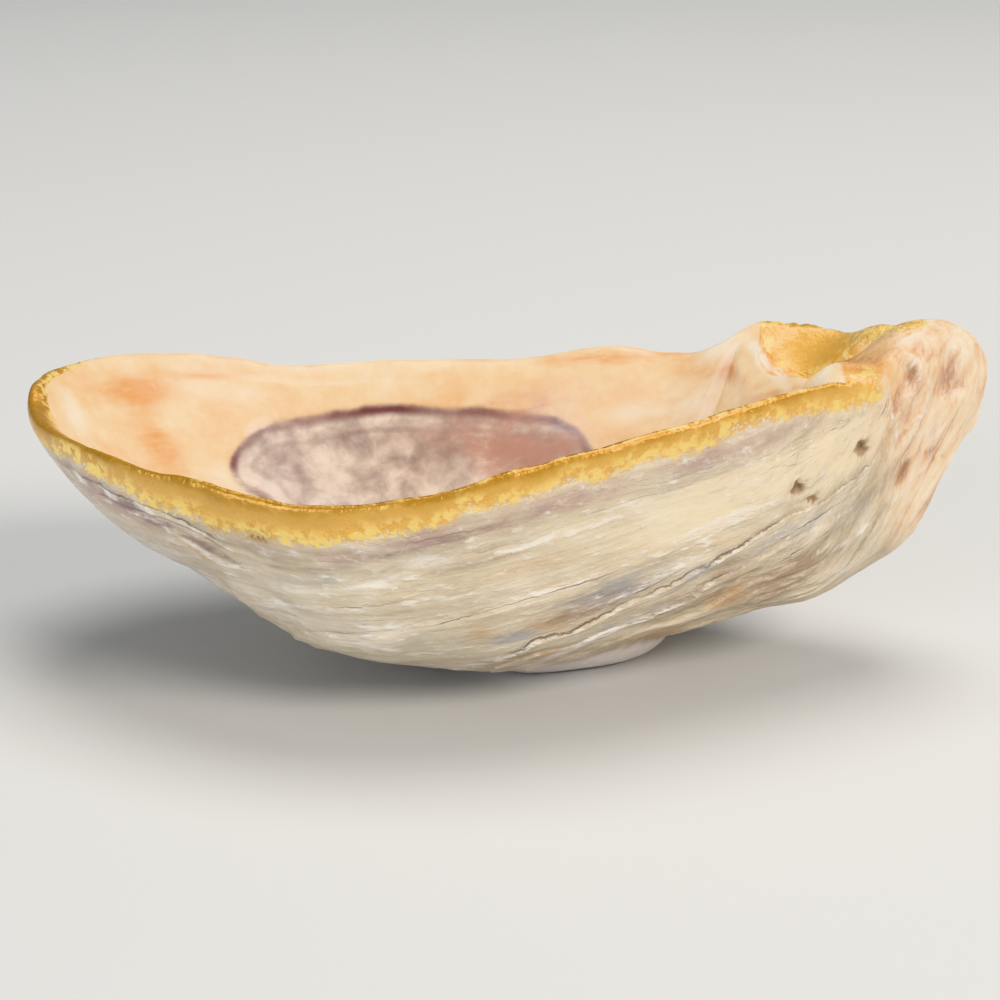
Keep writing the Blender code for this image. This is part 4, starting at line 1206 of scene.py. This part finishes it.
def flakesAndPores(add, pattern, marks):
    # White flakes and dark pores, thickest along the layers' edges
    edgeSide = add("MapRange", (marks["seamGap"], *ranges["edgeSide"]), **eased)
    edgeEnd = add("MapRange", (marks["seamGap"], *ranges["edgeEnd"]))
    onEdge = marks["seamDark"]
    for share in (edgeSide, edgeEnd):
        onEdge = add("Math", (onEdge, share), **times)
    onRidge = add("Math", (marks["ridgeGap"],), **positive)
    onRidge = add("MapRange", (onRidge, *ranges["ridge"]), **eased)
    onRidge = add("Math", (onRidge, marks["ridgeShow"]), **times)
    crusty = add("Math", (onEdge, shellFinish["edgeFlakes"], pattern["flakes"]), **timesPlus)
    crusty = add("Math", (onRidge, shellFinish["ridgeFlakes"], crusty), **timesPlus)
    flake = add("MapRange", (crusty, *ranges["flake"], 0.0, shellFinish["flakeShare"]), **eased)
    pore = add("MapRange", (pattern["flakes"], *ranges["pore"], 0.0, shellFinish["poreShare"]), **eased)
    return flake, pore


def seamsAndCracks(add, pattern, marks):
    # Painted shade: the layer that comes out of a seam is darkened for a short way beside the crevice,
    # and each seam and crack is a dark broken line of painted shade
    shadeWidth, shadeShare = shellFinish["shadeWidth"], shellFinish["shadeShare"]
    shade = add("MapRange", (marks["seamGap"], 0.0, shadeWidth, shadeShare, 0.0))
    behind = add("Math", (marks["seamGap"], 0.0), operation="GREATER_THAN")
    for share in (behind, marks["seamDark"]):
        shade = add("Math", (shade, share), **times)
    shake = add("MapRange", (pattern["speck"], *ranges["shake"]))
    broken = add("MapRange", (pattern["middle"], *ranges["broken"]))
    dark = 0.0
    for gap, show, width in (("seamGap", "seamDark", "seamWidth"), ("crackGap", "crackShow", "crackWidth")):
        gap = add("Math", (marks[gap], shake), **plus)
        gap = add("Math", (gap,), **positive)
        show = add("Math", (marks[show], broken), **times)
        width = add("Math", (show, shellFinish[width]), **times)
        line = add("Math", (width, gap), operation="SUBTRACT")
        line = add("MapRange", (line, *ranges["line"]), **eased)
        opacity = add("MapRange", (show, *ranges["opacity"]))
        line = add("Math", (line, opacity), **times)
        dark = add("Math", (line, dark), **larger)
    return shade, dark


def gilding(add, pattern, marks):
    # Where the gold paint lies, how near its own edge, and its coats. Its edge breaks into grains
    ragged, grains = goldFinish["ragged"], goldFinish["grains"]
    ragged = add("MapRange", (pattern["speck"], *noiseSpan, -ragged, ragged))
    grains = add("MapRange", (pattern["grit"], *noiseSpan, -grains, grains))
    ragged = add("Math", (ragged, grains), **plus)
    outside = add("MapRange", {0: marks["inner"], 3: 1.0, 4: goldFinish["raggedInside"]})
    ragged = add("Math", (ragged, outside), **times)
    ragged = add("Math", (ragged, marks["gold"]), **plus)
    gilt = add("MapRange", (ragged, *ranges["gilt"]), **eased)
    near = add("MapRange", (marks["gold"], *goldFinish["dust"]), **eased)
    dusted = add("Math", (near, goldFinish["dustMore"], pattern["grit"]), **timesPlus)
    dusted = add("MapRange", (dusted, *ranges["dusted"], 0.0, goldFinish["dustShare"]), **eased)
    for share in (near, outside):
        dusted = add("Math", (dusted, share), **times)
    gilt = add("Math", (gilt, dusted), **larger)
    edgeward = add("Math", (pattern["mottle"], -goldFinish["edgeBlur"], marks["gold"]), **timesPlus)
    edgeward = add("MapRange", (edgeward, *ranges["goldEdge"]), **eased)
    crestward = add("Math", (pattern["mottle"], goldFinish["bandBlur"], marks["rimMm"]), **timesPlus)
    crestward = add("MapRange", (crestward, *ranges["goldCrest"]))
    band = add("ValToRGB", (crestward,), stops=goldFinish["band"])
    lipward = add("Math", (marks["inner"], goldFinish["lipShare"]), **times)
    bright = add("MapRange", (pattern["speck"], *ranges["goldBright"]), **eased)
    bright = add("Math", (bright, edgeward), **times)
    return gilt, edgeward, [(1.0, band), (lipward, goldFinish["lip"]), (bright, goldFinish["flake"])]


def reliefHeight(add, pattern, table):
    # Patterns stacked by their mm, about a middle of none
    height = -sum(table.values()) / 2
    for name, amount in table.items():
        height = add("Math", (pattern[name], amount, height), **timesPlus)
    return height


def makeMaterial():
    material = bpy.data.materials.new("giltOysterShell")
    material.use_nodes = True
    add = functools.partial(addNode, material.node_tree)
    place = add("TexCoord", (), "Object")
    flow = add("Attribute", (), "Vector", attribute_name="layerPlace")
    marks, pattern = readMarks(add), makePatterns(add, place, flow)

    # Outside: streaks along the layers, with mottling over them, and only mottling on the knob
    base = {name: add("ValToRGB", (pattern[source],), stops=shellFinish[name]) for name, source in
            (("outer", "streaky"), ("knob", "folded"), ("plate", "mottled"), ("hollow", "mottled"))}
    lumpy = add("Math", (marks["lump"], shellFinish["lumpShare"]), **times)
    flake, pore = flakesAndPores(add, pattern, marks)
    shade, dark = seamsAndCracks(add, pattern, marks)
    bored = add("MapRange", (marks["hole"], *ranges["hole"], 0.0, shellFinish["holeShare"]), **eased)
    gilt, edgeward, goldCoats = gilding(add, pattern, marks)

    # Coats of colour, each with its share: stains, some partly painted light or shade, lie on the base, and
    # marks of wear and the seams' painted shade lie on the stains
    coats = {
        "outer": [(1.0, base["outer"]), (marks["knob"], base["knob"]), (marks["plate"], base["plate"]),
                  (lumpy, shellFinish["lump"])],
        "bowl": [(1.0, base["hollow"])] + scarCoats(add, pattern, marks), "gold": goldCoats}
    for name, tint in tints.items():
        lift = add("MapRange", (pattern[name], *ranges["tintLift"]))
        share = add("Math", (marks[name], lift), **times)
        most = shellFinish["mostTint"][tint["surface"]]
        share = add("MapRange", (share, *ranges["tint"], 0.0, most), **eased)
        coats[tint["surface"]].append((share, tint["colour"]))
    wearAndShade = ((flake, "flake"), (pore, "pore"), (shade, "shade"), (dark, "seam"), (bored, "hole"))
    coats["outer"] += [(share, shellFinish[name]) for share, name in wearAndShade]
    coats["all"] = [(1.0, "outer"), (marks["inner"], "bowl"), (gilt, "gold")]
    colour = {}
    for name, layered in coats.items():
        for share, over in layered:
            if isinstance(over, str):
                over = colour[over] if over in colour else linearColour(over)
            under = colour.get(name)
            colour[name] = add("Mix", {0: share, 6: under, 7: over}, **mixed) if under else over

    roughness = add("MapRange", (pattern["mottle"], *ranges["gloss"], *shellFinish["roughness"]))
    goldRough = add("MapRange", (pattern["speck"], *noiseSpan, *goldFinish["roughness"]))
    roughness = add("Mix", {0: gilt, 2: roughness, 3: goldRough})
    metallic = add("Math", (gilt, goldFinish["metal"]), **times)
    coat = add("MapRange", {0: gilt, 3: shellFinish["coat"], 4: goldFinish["coat"]})

    height = {name: reliefHeight(add, pattern, table) for name, table in relief.items()}
    flank = add("Mix", {0: marks["knob"], 2: height["flank"], 3: height["knob"]})
    flank = add("Math", (flake, flakeMm, flank), **timesPlus)
    flank = add("Math", (dark, seamMm, flank), **timesPlus)
    polished = lumpy
    for share in (marks["inner"], marks["plate"]):
        polished = add("Math", (share, polished), **larger)
    wrinkle = add("Mix", {0: edgeward, 2: height["gold"], 3: height["goldEdge"]})
    flank = add("Mix", {0: polished, 2: flank, 3: height["smooth"]})
    flank = add("Mix", {0: gilt, 2: flank, 3: wrinkle})
    bump = add("Bump", {"Height": flank, "Distance": mm, "Strength": 1.0})

    shader = material.node_tree.nodes["Principled BSDF"]
    shader.inputs["Coat Roughness"].default_value = shellFinish["coatRoughness"]
    for name, source in (("Base Color", colour["all"]), ("Roughness", roughness), ("Metallic", metallic),
                         ("Normal", bump), ("Coat Weight", coat)):
        material.node_tree.links.new(source, shader.inputs[name])
    return material


valve = makeValve()
valve.data.materials.append(makeMaterial())
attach(valve, "root")
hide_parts("shell")
print("valve made")


# Studio, in metres
studio = {
    "floor": "#c6c8c9", "floorReach": 3.0, "floorRoughness": 0.8, "clipStart": 0.01, "lightAim": (0, 0, 0.01),
    "lights": [                   # place, size and power of each soft light, colour
        ("overhead", (0.10, 0.15, 0.75), 0.5, 4.2, "#fffaf3"),
        ("frontFill", (-0.62, -0.66, 0.22), 0.5, 4.2, "#f6f9ff"),
        ("rightGlow", (0.60, -0.50, 0.56), 0.4, 7.4, "#fff3e4")],
    "air": "#e6ebf0", "airStrength": 0.36,
}


def makeCamera():
    ahead, upward, eye = viewAxes()
    data = bpy.data.cameras.new("camera")
    data.sensor_width = viewpoint["sensor"]
    data.lens = viewpoint["sensor"] * viewpoint["pixelsPerMm"] * viewpoint["distance"] / viewpoint["picture"]
    data.clip_start = studio["clipStart"]
    camera = bpy.data.objects.new("camera", data)
    camera.location = Vector(eye * mm)
    camera.rotation_euler = Vector(ahead).to_track_quat("-Z", "Y").to_euler()
    bpy.context.scene.collection.objects.link(camera)
    bpy.context.scene.camera = camera


def makeFloor():
    mesh = bpy.data.meshes.new("floor")
    reach = studio["floorReach"]
    corners = [(-reach, -reach, 0), (reach, -reach, 0), (reach, reach, 0), (-reach, reach, 0)]
    mesh.from_pydata(corners, [], [(0, 1, 2, 3)])
    floor = bpy.data.objects.new("floor", mesh)
    bpy.context.scene.collection.objects.link(floor)
    floor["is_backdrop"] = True
    material = bpy.data.materials.new("matteCard")
    material.use_nodes = True
    sockets = material.node_tree.nodes["Principled BSDF"].inputs
    sockets["Base Color"].default_value = linearColour(studio["floor"])
    sockets["Roughness"].default_value = studio["floorRoughness"]
    mesh.materials.append(material)


def makeLights():
    for name, place, size, power, colour in studio["lights"]:
        data = bpy.data.lights.new(name, "AREA")
        data.shape = "DISK"
        data.size = size
        data.energy = power
        data.color = linearColour(colour)[:3]
        lamp = bpy.data.objects.new(name, data)
        lamp.location = place
        lamp.rotation_euler = (Vector(studio["lightAim"]) - Vector(place)).to_track_quat("-Z", "Y").to_euler()
        bpy.context.scene.collection.objects.link(lamp)
    world = bpy.data.worlds.new("studio")
    world.use_nodes = True
    world.node_tree.nodes["Background"].inputs["Color"].default_value = linearColour(studio["air"])
    world.node_tree.nodes["Background"].inputs["Strength"].default_value = studio["airStrength"]
    bpy.context.scene.world = world


makeCamera()
makeFloor()
makeLights()
bpy.context.scene.view_settings.view_transform = "Khronos PBR Neutral"    # keeps the finish's own colours

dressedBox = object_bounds()
for name, box in (("solid", solidBox), ("dressed", dressedBox)):
    print(name, [[round(value / mm, 2) for value in corner] for corner in box])
